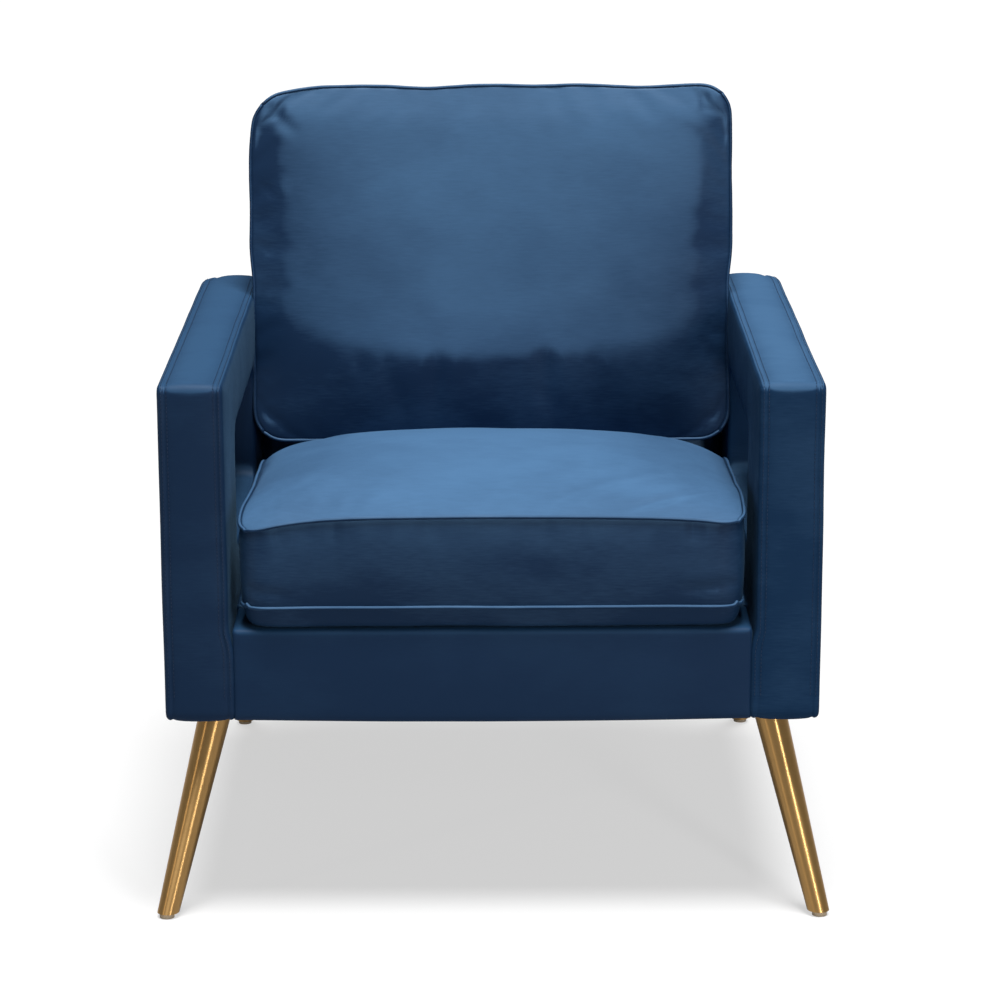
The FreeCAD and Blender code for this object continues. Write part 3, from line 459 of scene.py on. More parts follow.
def make_weave():
    """Plain woven cloth: two sets of threads, one over the other."""
    group, given, out = new_group("weave", [("Vector", None), ("Threads", 900.0)],
                                  ["Mask", "Roughness", "Height"])
    split = group.nodes.new("ShaderNodeSeparateXYZ")
    group.links.new(given.outputs["Vector"], split.inputs[0])
    waves = []
    for axis in ("X", "Y", "Z"):
        phase = math_node(group, "MULTIPLY", split.outputs[axis], given.outputs["Threads"])
        waves.append(math_node(group, "SINE", phase))
    crossed = math_node(group, "ADD", math_node(group, "MULTIPLY", waves[0], waves[1]),
                        math_node(group, "MULTIPLY", waves[2], waves[0]))
    slub = noise_node(group, given.outputs["Vector"], 260.0, 2.0, 0.6)
    height = spread(group, crossed, -1.2, 1.2)
    group.links.new(math_node(group, "MULTIPLY", height, slub), out.inputs["Mask"])
    group.links.new(spread(group, slub, 0.3, 0.7, 0.75, 0.95), out.inputs["Roughness"])
    group.links.new(height, out.inputs["Height"])
    return group


PILE_AND_PAINTED_LIGHT, BRUSHED, GRAIN, WEAVE = make_pile_and_painted_light(), make_brushed(), make_grain(), make_weave()
print("groups:", [g.name for g in bpy.data.node_groups])

# %% [markdown]
# ## Materials
# One builder serves them all: a group drives the mix of two colours, the roughness and a small
# bump. Velvet adds sheen, the pale bloom that a pile shows at grazing angles.


# %% Material builder
BUMP_HEIGHT = 0.4 * MM


def finish(name, group, dark, light, bump, scale, extra):
    """A Principled material whose colour runs from dark to light with the group's mask. The scale
    is the group's own where it is None, and extra holds more of the shader's values."""
    material = bpy.data.materials.new(name)
    material.use_nodes = True
    tree = material.node_tree
    shader = tree.nodes["Principled BSDF"]
    coords = tree.nodes.new("ShaderNodeTexCoord")
    effect = tree.nodes.new("ShaderNodeGroup")
    effect.node_tree = group
    tree.links.new(coords.outputs["Object"], effect.inputs["Vector"])
    if "Facing" in effect.inputs:
        tree.links.new(coords.outputs["Normal"], effect.inputs["Facing"])
    if scale is not None:
        effect.inputs[1].default_value = scale
    mix = tree.nodes.new("ShaderNodeMix")
    mix.data_type = "RGBA"
    factor, colour_a, colour_b = mix.inputs["Factor"], mix.inputs[6], mix.inputs[7]
    tree.links.new(effect.outputs[0], factor)
    colour_a.default_value, colour_b.default_value = (*dark, 1), (*light, 1)
    tree.links.new(mix.outputs[2], shader.inputs["Base Color"])
    tree.links.new(effect.outputs["Roughness"], shader.inputs["Roughness"])
    if bump:
        relief = tree.nodes.new("ShaderNodeBump")
        relief.inputs["Strength"].default_value = bump
        relief.inputs["Distance"].default_value = BUMP_HEIGHT
        tree.links.new(effect.outputs["Height"], relief.inputs["Height"])
        tree.links.new(relief.outputs["Normal"], shader.inputs["Normal"])
    for socket, value in extra.items():
        shader.inputs[socket].default_value = value
    return material


# %% The chair's finishes
# A row is the group, the dark and light colours, the bump, the scale and more shader values. For velvet the two
# colours are its colour in painted shade and in painted light.
NAP = {"Sheen Weight": 0.07, "Sheen Roughness": 0.40, "Sheen Tint": (0.34, 0.66, 1.0, 1),
       "Specular IOR Level": 0.15}
# A shaded copy of the nap: less sheen and specular, so the right arm's inner face stays dark as painted shade.
NAP_DIMMED_FOR_SHADE = {**NAP, "Sheen Weight": 0.02, "Specular IOR Level": 0.06}
METAL = {"Metallic": 1.0}
# The velvet's colour in painted shade and in painted light.
NAVY_PAINTED_SHADE, NAVY_PAINTED_LIGHT = (0.0044, 0.0225, 0.064), (0.062, 0.146, 0.275)
NAP_BUMP = 0.22
BRASS = (BRUSHED, (0.55, 0.32, 0.115), (0.66, 0.40, 0.155), 0, None, METAL)
FINISHES = {
    "velvet": (PILE_AND_PAINTED_LIGHT, NAVY_PAINTED_SHADE, NAVY_PAINTED_LIGHT, NAP_BUMP, None, NAP),
    # Shaded copies of the velvet for the arms, as painted shade: darker all over on the left arm, with less sheen
    # on the right arm.
    "velvet_arm_left": (PILE_AND_PAINTED_LIGHT, (0.0040, 0.021, 0.060), (0.024, 0.073, 0.155), NAP_BUMP, None, NAP),
    "velvet_arm_right": (PILE_AND_PAINTED_LIGHT, (0.0070, 0.0290, 0.075), (0.050, 0.121, 0.232), NAP_BUMP, None,
                         NAP_DIMMED_FOR_SHADE),
    # A shaded copy for the rail: its light colour is far darker, as painted shadow under the seat cushion's lip.
    "velvet_rail": (PILE_AND_PAINTED_LIGHT, NAVY_PAINTED_SHADE, (0.013, 0.050, 0.115), NAP_BUMP, None, NAP),
    "piping": (PILE_AND_PAINTED_LIGHT, NAVY_PAINTED_SHADE, (0.056, 0.132, 0.250), 0.3, 22.0, NAP),
    "thread": (WEAVE, (0.004, 0.016, 0.05), (0.014, 0.05, 0.12), 0.3, 2600.0, {}),
    "brass": BRASS,
    "brass_rear": BRASS,
    "steel": (BRUSHED, (0.30, 0.30, 0.31), (0.55, 0.55, 0.57), 0.15, None, METAL),
    "wire": (BRUSHED, (0.12, 0.12, 0.13), (0.28, 0.28, 0.30), 0.15, None, METAL),
    "timber": (GRAIN, (0.42, 0.26, 0.13), (0.72, 0.53, 0.33), 0.3, None, {}),
    "plastic": (GRAIN, (0.50, 0.40, 0.27), (0.62, 0.50, 0.36), 0.1, 60.0, {}),
    "lining": (WEAVE, (0.006, 0.006, 0.007), (0.03, 0.03, 0.032), 0.5, 1500.0, {}),
    "webbing": (WEAVE, (0.02, 0.02, 0.02), (0.14, 0.13, 0.12), 0.8, 700.0, {}),
    "tape": (WEAVE, (0.004, 0.012, 0.035), (0.012, 0.035, 0.08), 0.5, 2200.0, {}),
    "foam": (WEAVE, (0.60, 0.53, 0.33), (0.82, 0.76, 0.55), 0.6, 1100.0, {}),
}
MATERIALS = {name: finish(name, *row) for name, row in FINISHES.items()}


# %% Brushed legs
LEG_STREAK = 0.9


def brush_round(material, lean_x, lean_y):
    """Stretches reflections along a leg, as a belt run round it does. The leg leans outward."""
    tree = material.node_tree
    shader = tree.nodes["Principled BSDF"]
    coords = tree.nodes.new("ShaderNodeTexCoord")
    split = tree.nodes.new("ShaderNodeSeparateXYZ")
    tree.links.new(coords.outputs["Object"], split.inputs[0])
    side = math_node(tree, "SIGN", split.outputs["X"])
    along = tree.nodes.new("ShaderNodeCombineXYZ")
    tree.links.new(math_node(tree, "MULTIPLY", side, lean_x), along.inputs["X"])
    along.inputs["Y"].default_value = lean_y
    along.inputs["Z"].default_value = 1.0
    tree.links.new(along.outputs[0], shader.inputs["Tangent"])
    shader.inputs["Anisotropic"].default_value = LEG_STREAK


def leg_lean(end):
    """How far a leg leans for each metre it rises, sideways and to the back."""
    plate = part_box(f"leg_plate_{end}_right")
    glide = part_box(f"leg_glide_{end}_right")
    rise = plate[0].z
    return [(sum(c[k] for c in plate) - sum(c[k] for c in glide)) / 2 / rise for k in (0, 1)]


brush_round(MATERIALS["brass"], *leg_lean("front"))
brush_round(MATERIALS["brass_rear"], *leg_lean("rear"))
print("materials:", sorted(MATERIALS))


def dress(thing, material, body, slot, *replaced):
    """Gives a piece its material and its body, and hides the nodes it stands for. Its slot is not used."""
    thing.data.materials.clear()
    thing.data.materials.append(MATERIALS[material])
    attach(thing, body)
    if replaced:
        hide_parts(*replaced)


# %% [markdown]
# ## The arms
# Each arm is a slab with a window, covered by a band that runs over its front and top, joined to
# two side panels. So the mesh is a ring: its rows run round the window, its columns run round the
# section of the bar. A seam is then one column, pulled in a little, wherever the band ends.


# %% Outline with round corners
LONG_RUN, SHORT_RUN, CORNER_STEPS = 44, 28, 6
SMALLEST_ROUND = 0.4 * MM


def outline(y0, y1, z0, z1, radius):
    """Points round a rectangle, the same number for any size: up, back, down and forward."""
    corners = [np.array(c) for c in ((y0, z0), (y0, z1), (y1, z1), (y1, z0))]
    ways = [np.array(w, float) for w in ((0, 1), (1, 0), (0, -1), (-1, 0))]
    radius = max(radius, SMALLEST_ROUND)
    points = []
    for i, run in enumerate((SHORT_RUN, LONG_RUN, SHORT_RUN, LONG_RUN)):
        way, after = ways[i], ways[(i + 1) % 4]
        start = corners[i] + way * radius
        end = corners[(i + 1) % 4] - way * radius
        points += [start + (end - start) * k / run for k in range(run)]
        for k in range(CORNER_STEPS):
            angle = math.pi / 2 * k / CORNER_STEPS
            turned = way * math.sin(angle) - after * math.cos(angle)
            points.append(end + after * radius + radius * turned)
    return np.array(points)


# %% Section of the bar
ARM_HALF = (OUTER - INNER) / 2
ARM_MIDDLE = (OUTER + INNER) / 2
EDGE_ROUND = 6 * MM
CORNER_ROUND, WINDOW_ROUND = 11 * MM, 17 * MM
SEAM_FROM_EDGE = 8.0 * MM
SEAM_DIP = 2.0 * MM
PANEL_COLUMNS = 12


def section():
    """Stations round the bar's section: (edge, how far in, across), or a share of a side panel."""
    def mirrored(half):
        return [(d, -t) for d, t in reversed(half)]

    quarter = [math.radians(a) for a in (0, 22.5, 45, 67.5, 90)]
    corner = [(EDGE_ROUND * (1 - math.sin(a)), -ARM_HALF + EDGE_ROUND * (1 - math.cos(a)))
              for a in quarter]
    seam = -ARM_HALF + SEAM_FROM_EDGE
    half = corner + [(SEAM_DIP, seam), (0.0, seam + 1.6 * MM), (-1.1 * MM, seam + 12 * MM)]
    band = half + [(-1.6 * MM, 0.0)] + mirrored(half)
    shares = [k / (PANEL_COLUMNS + 1) for k in range(1, PANEL_COLUMNS + 1)]
    rim = corner + [(-0.6 * MM, -ARM_HALF * 0.4), (-0.6 * MM, ARM_HALF * 0.4)] + mirrored(corner)
    return ([("outer", d, t) for d, t in band] + [("panel", share, 1) for share in shares]
            + [("window", d, -t) for d, t in rim] + [("panel", 1 - share, -1) for share in shares])


OUTER_SWELL, INNER_SWELL = 2.6 * MM, 1.7 * MM


def arm_loop(kind, value, across):
    """One column of the ring: the (x offset, y, z) of every point round the window."""
    def outer(inset):
        return outline(FRONT + inset, REAR - inset, FLOOR_EDGE + inset, ARM_TOP - inset,
                       CORNER_ROUND - inset)

    def window(inset):
        return outline(WINDOW_FRONT - inset, WINDOW_REAR + inset, WINDOW_SILL - inset,
                       WINDOW_HEAD + inset, WINDOW_ROUND + inset)

    if kind == "outer":
        flat, t = outer(value), across
    elif kind == "window":
        flat, t = window(value), across
    else:
        flat = outer(EDGE_ROUND) * (1 - value) + window(EDGE_ROUND) * value
        swell = OUTER_SWELL if across > 0 else INNER_SWELL
        t = across * (ARM_HALF + swell * math.sin(math.pi * value) ** 0.6)
    return np.column_stack([np.full(len(flat), t), flat])


# %% Shape of the whole arm
REAR_ROUND = 45 * MM
BELOW_SEAT_SWELL, OUTSIDE_SWELL, FRONT_FOOT_SAG = 6.0 * MM, 2.6 * MM, 3.5 * MM


def bend_arm(points, side):
    """Rounds the rear outer corner in plan, lets the padding swell below the seat, and sets it on
    its side of the chair."""
    points = points.copy()
    a = (points[:, 0] + REAR_ROUND - ARM_HALF) / REAR_ROUND
    b = (points[:, 1] + REAR_ROUND - REAR) / REAR_ROUND
    corner = (a > 0) & (b > 0)
    a, b = np.maximum(a, 0), np.maximum(b, 0)
    pull = np.where(corner, np.maximum(a, b) / np.maximum(np.hypot(a, b), 1e-9), 1)
    points[corner, 0] = (ARM_HALF - REAR_ROUND + a * pull * REAR_ROUND)[corner]
    points[corner, 1] = (REAR - REAR_ROUND + b * pull * REAR_ROUND)[corner]
    inner = smooth_step(0.0, -ARM_HALF, points[:, 0])
    near_front = 1 - smooth_step(depth(30), depth(90), points[:, 1])
    low = 1 - smooth_step(0.322, 0.340, points[:, 2])
    points[:, 0] -= BELOW_SEAT_SWELL * inner * near_front * low
    points[:, 0] += OUTSIDE_SWELL * smooth_step(0.0, ARM_HALF, points[:, 0])
    at_foot = 1 - smooth_step(FLOOR_EDGE, FLOOR_EDGE + 0.024, points[:, 2])
    at_front = 1 - smooth_step(depth(0), depth(45), points[:, 1])
    points[:, 2] -= FRONT_FOOT_SAG * at_foot * at_front
    uneven = ripple(points, 0.16, 5 + side) * 0.45 * MM
    points[:, 0] += uneven * np.sign(points[:, 0])
    points[:, 2] += ripple(points, 0.3, 9 + side) * 0.5 * MM * smooth_step(0.5, 0.62, points[:, 2])
    points[:, 0] = side * (ARM_MIDDLE + points[:, 0])
    return points


def build_arm(word, side):
    """The upholstery of one arm, as one closed ring of quads."""
    loops = [arm_loop(*station) for station in section()]
    ring = np.stack(loops, axis=1).reshape(-1, 3)
    faces = wrap_quads(len(loops[0]), len(loops))
    arm = closed_mesh(f"arm_upholstery_{word}", bend_arm(ring, side), faces)
    subdivide(arm)
    dress(arm, f"velvet_arm_{word}", "chair_frame", "velvet",
          f"arm_cover_{word}", f"arm_foam_{word}")
    print(arm.name, len(arm.data.polygons), "faces")


SIDES = (("left", -1), ("right", 1))
for side_word, side_sign in SIDES:
    build_arm(side_word, side_sign)


# %% [markdown]
# ## Topstitching
# Thread is what makes a seam read as sewn. A stitch is a short bead, thicker in its middle, and a
# run of them is one mesh. They follow the same columns as the arm's seams, a little outside them.


# %% Beads along a line
STITCH_PITCH, STITCH_LENGTH, STITCH_RADIUS = 4.6 * MM, 3.3 * MM, 0.42 * MM
BEAD = ((-0.3, 0.8), (0.0, 1.0), (0.3, 0.8))
BEAD_SIDES = 5


def bead_faces(first):
    """Faces of a bead: a tip, three rings and another tip, numbered from the first tip on."""
    faces = []
    for k in range(BEAD_SIDES):
        after = (k + 1) % BEAD_SIDES
        a = first + 1
        faces.append((first, a + after, a + k))
        for _ in BEAD[1:]:
            faces.append((a + k, a + after, a + BEAD_SIDES + after, a + BEAD_SIDES + k))
            a += BEAD_SIDES
        faces.append((a + k, a + after, first + 1 + len(BEAD) * BEAD_SIDES))
    return faces


def stitch_run(name, line):
    """Stitches along a line, as one mesh of beads."""
    line = np.asarray(line, float)
    steps = np.linalg.norm(np.diff(line, axis=0), axis=1)
    travelled = np.concatenate([[0], np.cumsum(steps)])
    points, faces = [], []
    for middle in np.arange(STITCH_PITCH, travelled[-1] - STITCH_PITCH, STITCH_PITCH):
        centre, ahead = (np.array([np.interp(s, travelled, line[:, k]) for k in range(3)])
                         for s in (middle, middle + MM))
        way = (ahead - centre) / np.linalg.norm(ahead - centre)
        leaning = np.array([0.3, 0.5, 0.8])
        up = leaning - way * (leaning @ way)
        up /= np.linalg.norm(up)
        across = np.cross(way, up)
        faces += bead_faces(len(points))
        points.append(centre - way * STITCH_LENGTH / 2)
        for along, thick in BEAD:
            for k in range(BEAD_SIDES):
                angle = 2 * math.pi * k / BEAD_SIDES
                offset = up * math.cos(angle) + across * math.sin(angle)
                points.append(centre + way * along * STITCH_LENGTH + offset * STITCH_RADIUS * thick)
        points.append(centre + way * STITCH_LENGTH / 2)
    return add_mesh(name, points, faces)


# %% Stitch the arms
STITCH_LIFT = 0.15 * MM
UP_AND_BACK = SHORT_RUN + CORNER_STEPS + LONG_RUN


def arm_line(side, across):
    """A line on the arm's band, up its front and back along its top."""
    return bend_arm(arm_loop("outer", -STITCH_LIFT, across)[1:UP_AND_BACK], side)


for side_word, side_sign in SIDES:
    for edge, sign in (("inner", -1), ("outer", 1)):
        for line_word, offset in (("seam", 3.2 * MM), ("band", -2.6 * MM)):
            across = sign * (ARM_HALF - SEAM_FROM_EDGE + offset)
            run = stitch_run(f"arm_topstitch_{line_word}_{edge}_{side_word}",
                             arm_line(side_sign, across))
            dress(run, "thread", "chair_frame", "velvet")
            print(run.name, len(run.data.polygons), "faces")

# %% [markdown]
# ## Front rail, deck and back panel
# The front rail's cover is one cloth that folds under the rail, runs up its face and back over the
# deck, so it is a profile swept across the chair. The back panel is a stack of round-cornered
# rings that lean back with the recline.


# %% Front rail
RAIL_HALF = INNER - 3.5 * MM
RAIL_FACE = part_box("front_rail_cover")[0].y
RAIL_THICK, RAIL_TOP_ROUND, RAIL_FOOT_ROUND = 9 * MM, 6 * MM, 7 * MM
RAIL_HEM_RISE = 3 * MM
RAIL_COLUMNS = 90


def rail_profile():
    """Outside from the hem under the rail to the deck, then back again inside."""
    top, foot, face = DECK, FLOOR_EDGE, RAIL_FACE
    arc = [(1 - math.sin(a), 1 - math.cos(a)) for a in (math.pi / 2 * k / 4 for k in range(5))]
    outside = [(depth(mm), foot) for mm in (62, 40, 20)]
    outside += [(face + RAIL_FOOT_ROUND * p, foot + RAIL_FOOT_ROUND * q) for p, q in arc]
    uprights = np.linspace(foot + RAIL_FOOT_ROUND, top - RAIL_TOP_ROUND, 12)[1:-1]
    outside += [(face, z) for z in uprights]
    outside += [(face + RAIL_TOP_ROUND * q, top - RAIL_TOP_ROUND * p) for p, q in arc]
    outside += [(depth(mm), top) for mm in (22, 40, 60, 80, 100)]
    inside = [(min(max(y, face + RAIL_THICK), depth(100)),
               min(max(z, foot + RAIL_HEM_RISE), top - RAIL_THICK)) for y, z in reversed(outside)]
    return np.array(outside + inside)


RAIL_SAG, RAIL_SWELL = 5.5 * MM, 2.0 * MM


def rail_bulge(ring):
    """One section of the rail, padded out on its face and sagging at its hem."""
    ring = ring.copy()
    share = np.clip((ring[:, 2] - FLOOR_EDGE) / (DECK - FLOOR_EDGE), 0, 1)
    across = 1 - (ring[0, 0] / RAIL_HALF) ** 8
    on_face = ring[:, 1] < RAIL_FACE + 4 * MM
    ring[:, 1] -= np.where(on_face, RAIL_SWELL * np.sin(math.pi * share) ** 0.7 * across, 0)
    ring[:, 1] += ripple(ring, 0.11, 31) * 0.3 * MM
    low = 1 - smooth_step(0.0, 0.3, share)
    ring[:, 2] -= RAIL_SAG * low * (0.5 + 0.5 * across * (1 - (ring[0, 0] / RAIL_HALF) ** 2))
    return ring


profile = rail_profile()
rail = stack("front_rail_upholstery",
             [rail_bulge(np.column_stack([np.full(len(profile), x), profile]))
              for x in np.linspace(-RAIL_HALF, RAIL_HALF, RAIL_COLUMNS)])
subdivide(rail)
dress(rail, "velvet_rail", "chair_frame", "velvet", "front_rail_cover", "front_rail_foam")
print(rail.name, len(rail.data.polygons), "faces")


# %% Deck
deck_low, deck_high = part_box("deck_pad")
DECK_COLUMNS, DECK_ROWS = 60, 50
DECK_THICK, DECK_SET_DOWN, DECK_SWELL = 10 * MM, 1.2 * MM, 1.0 * MM
gx, gy = np.meshgrid(np.linspace(deck_low.x, deck_high.x, DECK_COLUMNS),
                     np.linspace(depth(101), deck_high.y, DECK_ROWS), indexing="ij")
across = 1 - np.abs(gx / deck_high.x) ** 6
along = np.clip((gy - depth(100)) / 0.46, 0, 1)
deck_top = DECK - DECK_SET_DOWN + DECK_SWELL * across * np.sin(along * math.pi)
deck = thin_sheet("deck_upholstery", np.concatenate(
    [np.stack([gx, gy, z], -1).reshape(-1, 3) for z in (deck_top, deck_top - DECK_THICK)]),
    DECK_COLUMNS, DECK_ROWS)
dress(deck, "velvet", "chair_frame", "deck_cloth", "deck_cover", "deck_pad")
print(deck.name, len(deck.data.polygons), "faces")


# %% Back panel
BACK_FACE_AT_ARM = depth(633)
BACK_THICK = 42 * MM
BACK_RISE = 222 * MM
BOX_REAR = depth(650)
LEAN = math.tan(RECLINE)
back_base, back_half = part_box("back_inside_cover")[0].z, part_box("back_inside_cover")[1].x
PANEL_ROUND, PANEL_EDGE, PANEL_CROWN = 12 * MM, 14 * MM, 3.0 * MM
PANEL_POINTS = 40


def panel_ring(half, y0, y1, inset):
    """One ring in plan: along the face from left to right, then back along the rear."""
    spread_out = math.pi / 2 * 0.97
    across = np.sin(np.linspace(-1, 1, PANEL_POINTS) * spread_out) / math.sin(spread_out)
    ring = []
    for sign, y, crown, order in ((-1, y0 + inset, PANEL_CROWN, 1), (1, y1 - inset, 0.0, -1)):
        for a in across[::order]:
            x = a * (half - inset)
            from_end = max(0.0, PANEL_ROUND - (half - inset - abs(x)))
            pull = PANEL_ROUND - math.sqrt(max(PANEL_ROUND**2 - from_end**2, 0))
            ring.append((x, y - sign * pull - crown * (1 - a * a) ** 0.6))
    return ring


def build_back_panel():
    """The padded inside of the back, up from the seat box, with a rounded top edge."""
    top = ARM_TOP + BACK_RISE * math.cos(RECLINE)
    straight = [back_base] + list(np.linspace(back_base + 0.004, top - PANEL_EDGE, 34))
    heights = [(z, 0.0) for z in straight]
    heights += [(top - PANEL_EDGE + PANEL_EDGE * math.sin(a), PANEL_EDGE * (1 - math.cos(a)))
                for a in (math.radians(d) for d in (22, 45, 67, 90))]
    rings = []
    for z, inset in heights:
        face = BACK_FACE_AT_ARM + (z - ARM_TOP) * LEAN
        rear = max(BOX_REAR, face + BACK_THICK / math.cos(RECLINE)) - 2.5 * MM
        ring = panel_ring(back_half - 0.4 * MM, face, rear, inset)
        tilt = LEAN * smooth_step(0.6, top, z)
        rings.append(np.array([(x, y, z - (y - face) * tilt) for x, y in ring]))
    panel = stack("back_panel_upholstery", rings)
    subdivide(panel)
    roughen(panel, (0.14, 41, 0.5 * MM))
    dress(panel, "velvet", "chair_frame", "velvet", "back_inside_cover", "back_foam")
    print(panel.name, len(panel.data.polygons), "faces")


build_back_panel()


# %% Outside back
OUTSIDE_RUN = 0.62
OUTSIDE_COLUMNS, OUTSIDE_ROWS = 44, 60
OUTSIDE_HOLLOW, OUTSIDE_PROUD, LINING_PROUD = 1.1 * MM, 1.4 * MM, 2.4 * MM


def outside_back(s):
    """The depth and height of a point on the outside back, s metres down from its top edge."""
    knee = ARM_TOP + (BOX_REAR - BACK_FACE_AT_ARM - BACK_THICK / math.cos(RECLINE)) / LEAN
    top = ARM_TOP + BACK_RISE * math.cos(RECLINE) - BACK_THICK * math.sin(RECLINE) - 6 * MM
    slope_run = (top - knee) / math.cos(RECLINE)
    z = top - s * math.cos(RECLINE) if s < slope_run else knee - (s - slope_run)
    return BOX_REAR + max(0.0, z - knee) * LEAN, z


def build_outside_back():
    """One cloth over the rear of the panel, down over the knee and down the seat box."""
    half = back_half - 0.9 * MM
    low = FLOOR_EDGE + 2 * MM
    outer, inner = [], []
    for x in np.linspace(-half, half, OUTSIDE_COLUMNS):
        for s in np.linspace(0, OUTSIDE_RUN, OUTSIDE_ROWS):
            y, z = outside_back(s)
            edge = min(half - abs(x), s, OUTSIDE_RUN - s)
            hollow = OUTSIDE_HOLLOW * (1 - math.exp(-max(edge, 0) / 0.006))
            outer.append((x, y - OUTSIDE_PROUD + hollow, max(z, low)))
            inner.append((x, y - LINING_PROUD, max(z, low)))
    cloth = thin_sheet("outside_back_cloth", outer + inner, OUTSIDE_COLUMNS, OUTSIDE_ROWS)
    dress(cloth, "velvet", "chair_frame", "velvet", "back_outside_cover")
    print(cloth.name, f"{2 * half:.3f} x {OUTSIDE_RUN} m")


build_outside_back()

# %% [markdown]
# ## Cushions
# A cushion is two panels and a boxing strip between them, joined at two piped seams. The panels
# start as grids whose outer ring has round corners, so each seam is one ring of points. Cloth
# simulation then fills it: seams are held, the panels swell against them and pucker, and no point
# may move further than the cap.


# %% Grid with round corners
def rounded_place(u, v, half_w, half_d, corner):
    """Maps a square grid, -1 to 1 each way, to a rectangle with round corners."""
    ring = max(abs(u), abs(v))
    if ring < 1e-9:
        return 0.0, 0.0
    w, d, r = half_w * ring, half_d * ring, corner * ring
    flip = abs(v) > abs(u)
    if flip:
        u, v, w, d = v, u, d, w
    side, share = (1 if u > 0 else -1), v / abs(u)
    straight, bend = d - r, r * math.pi / 4
    run = abs(share) * (straight + bend)
    way = 1 if share >= 0 else -1
    if run <= straight:
        x, y = side * w, way * run
    else:
        angle = (run - straight) / r
        x, y = side * (w - r + r * math.cos(angle)), way * (straight + r * math.sin(angle))
    return (y, x) if flip else (x, y)


EDGE_CROWDING = 1.35
CUSHION_CELLS = 56


def cushion_mesh(name, rows, plan, upper, lower, side_bulge):
    """Two panels and a boxing strip. plan gives a grid point's place, upper and lower its heights,
    and side_bulge how far the strip stands out at a share of its height. Returns the object and
    the numbers of the points on the upper and lower seams."""
    n = CUSHION_CELLS + 1
    us = np.linspace(-1, 1, n)
    us = np.sign(us) * (1 - (1 - np.abs(us)) ** EDGE_CROWDING)
    flat = np.array([plan(u, v) for u in us for v in us])
    top = np.column_stack([flat, upper(flat)])
    bottom = np.column_stack([flat, lower(flat)])
    ring = border_of(n, n)
    under = [n * n + k for k in ring]
    edge_top, edge_bottom = top[ring], bottom[ring]
    along = np.roll(edge_top, -1, 0)[:, :2] - np.roll(edge_top, 1, 0)[:, :2]
    outward = np.column_stack([along[:, 1], -along[:, 0]])
    outward /= np.linalg.norm(outward, axis=1)[:, None]
    points, faces = [top, bottom], two_layers(n, n)
    previous = ring
    for row in range(1, rows):
        share = row / rows
        strip = edge_top * (1 - share) + edge_bottom * share
        strip[:, :2] += outward * side_bulge(share)
        points.append(strip)
        start = 2 * n * n + (row - 1) * len(ring)
        current = list(range(start, start + len(ring)))
        faces += band_quads(previous, current)
        previous = current
    faces += band_quads(previous, under)
    return closed_mesh(name, np.vstack(points), faces), ring, under


# %% Filling by simulation
FRAMES = 20
FARTHEST = 4 * MM


def fill_cushion(thing, held, pressure, spare):
    """Blows the cover up against its held seams. spare is how much larger the cloth is than the
    shape it starts from, which is what makes it pucker."""
    start = places(thing)
    group = thing.vertex_groups.new(name="held")
    group.add(held, 1.0, "REPLACE")
    cloth = thing.modifiers.new("cloth", "CLOTH")
    settings = cloth.settings
    settings.quality = 6
    settings.mass = 0.25
    settings.tension_stiffness = settings.compression_stiffness = 18
    settings.shear_stiffness = 8
    settings.bending_stiffness = 0.35
    settings.use_pressure = True
    settings.uniform_pressure_force = pressure
    settings.shrink_min = -spare
    settings.vertex_group_mass = "held"
    settings.effector_weights.gravity = 0
    cloth.point_cache.frame_start = 1
    cloth.point_cache.frame_end = FRAMES
    for number in range(1, FRAMES + 1):
        scene.frame_set(number)
    graph = bpy.context.evaluated_depsgraph_get()
    filled = places(thing.evaluated_get(graph))
    move = filled - start
    far = np.linalg.norm(move, axis=1)
    move *= np.minimum(1, FARTHEST / np.maximum(far, 1e-9))[:, None]
    thing.modifiers.clear()
    thing.vertex_groups.clear()
    set_places(thing, start + move)
    scene.frame_set(1)
    print(thing.name, f"moved {far.mean() / MM:.1f} mm on average, {far.max() / MM:.1f} at most")


# %% Puckers and piping
def seam_puckers(thing, seam, deep, reach, pitch, seed):
    """Small folds that start at a seam and die away from it."""
    points = places(thing)
    tree = KDTree(len(seam))
    for i, point in enumerate(seam):
        tree.insert(point, i)
    tree.balance()
    steps = np.linalg.norm(np.diff(seam, axis=0, append=seam[:1]), axis=1)
    travelled = np.concatenate([[0], np.cumsum(steps)[:-1]])
    draw = np.random.default_rng(seed)
    phase = draw.uniform(0, 2 * math.pi, 3)
    shift = np.zeros(len(points))
    for i, point in enumerate(points):
        _, nearest, away = tree.find(point)
        if away > reach * 3:
            continue
        s = travelled[nearest]
        wave = sum(math.sin(2 * math.pi * s / (pitch * longer) + p)
                   for longer, p in zip((1, 1.7, 4.3), phase)) / 3
        shift[i] = -deep * max(0.0, wave) ** 1.5 * (away / reach) * math.exp(1 - away / reach)
    set_places(thing, points + normals(thing) * shift[:, None])


def piping_line(thing, ring, out, wander, seed):
    """The line of a piping cord, just outside a seam, with twice the seam's points."""
    away = normals(thing)[ring]
    line = places(thing)[ring] + away * out
    line += away * (ripple(line, 0.09, seed) * wander)[:, None]
    before, after, next_after = np.roll(line, 1, 0), np.roll(line, -1, 0), np.roll(line, -2, 0)
    both = np.empty((2 * len(line), 3))
    both[0::2], both[1::2] = line, (9 * (line + after) - before - next_after) / 16
    return both


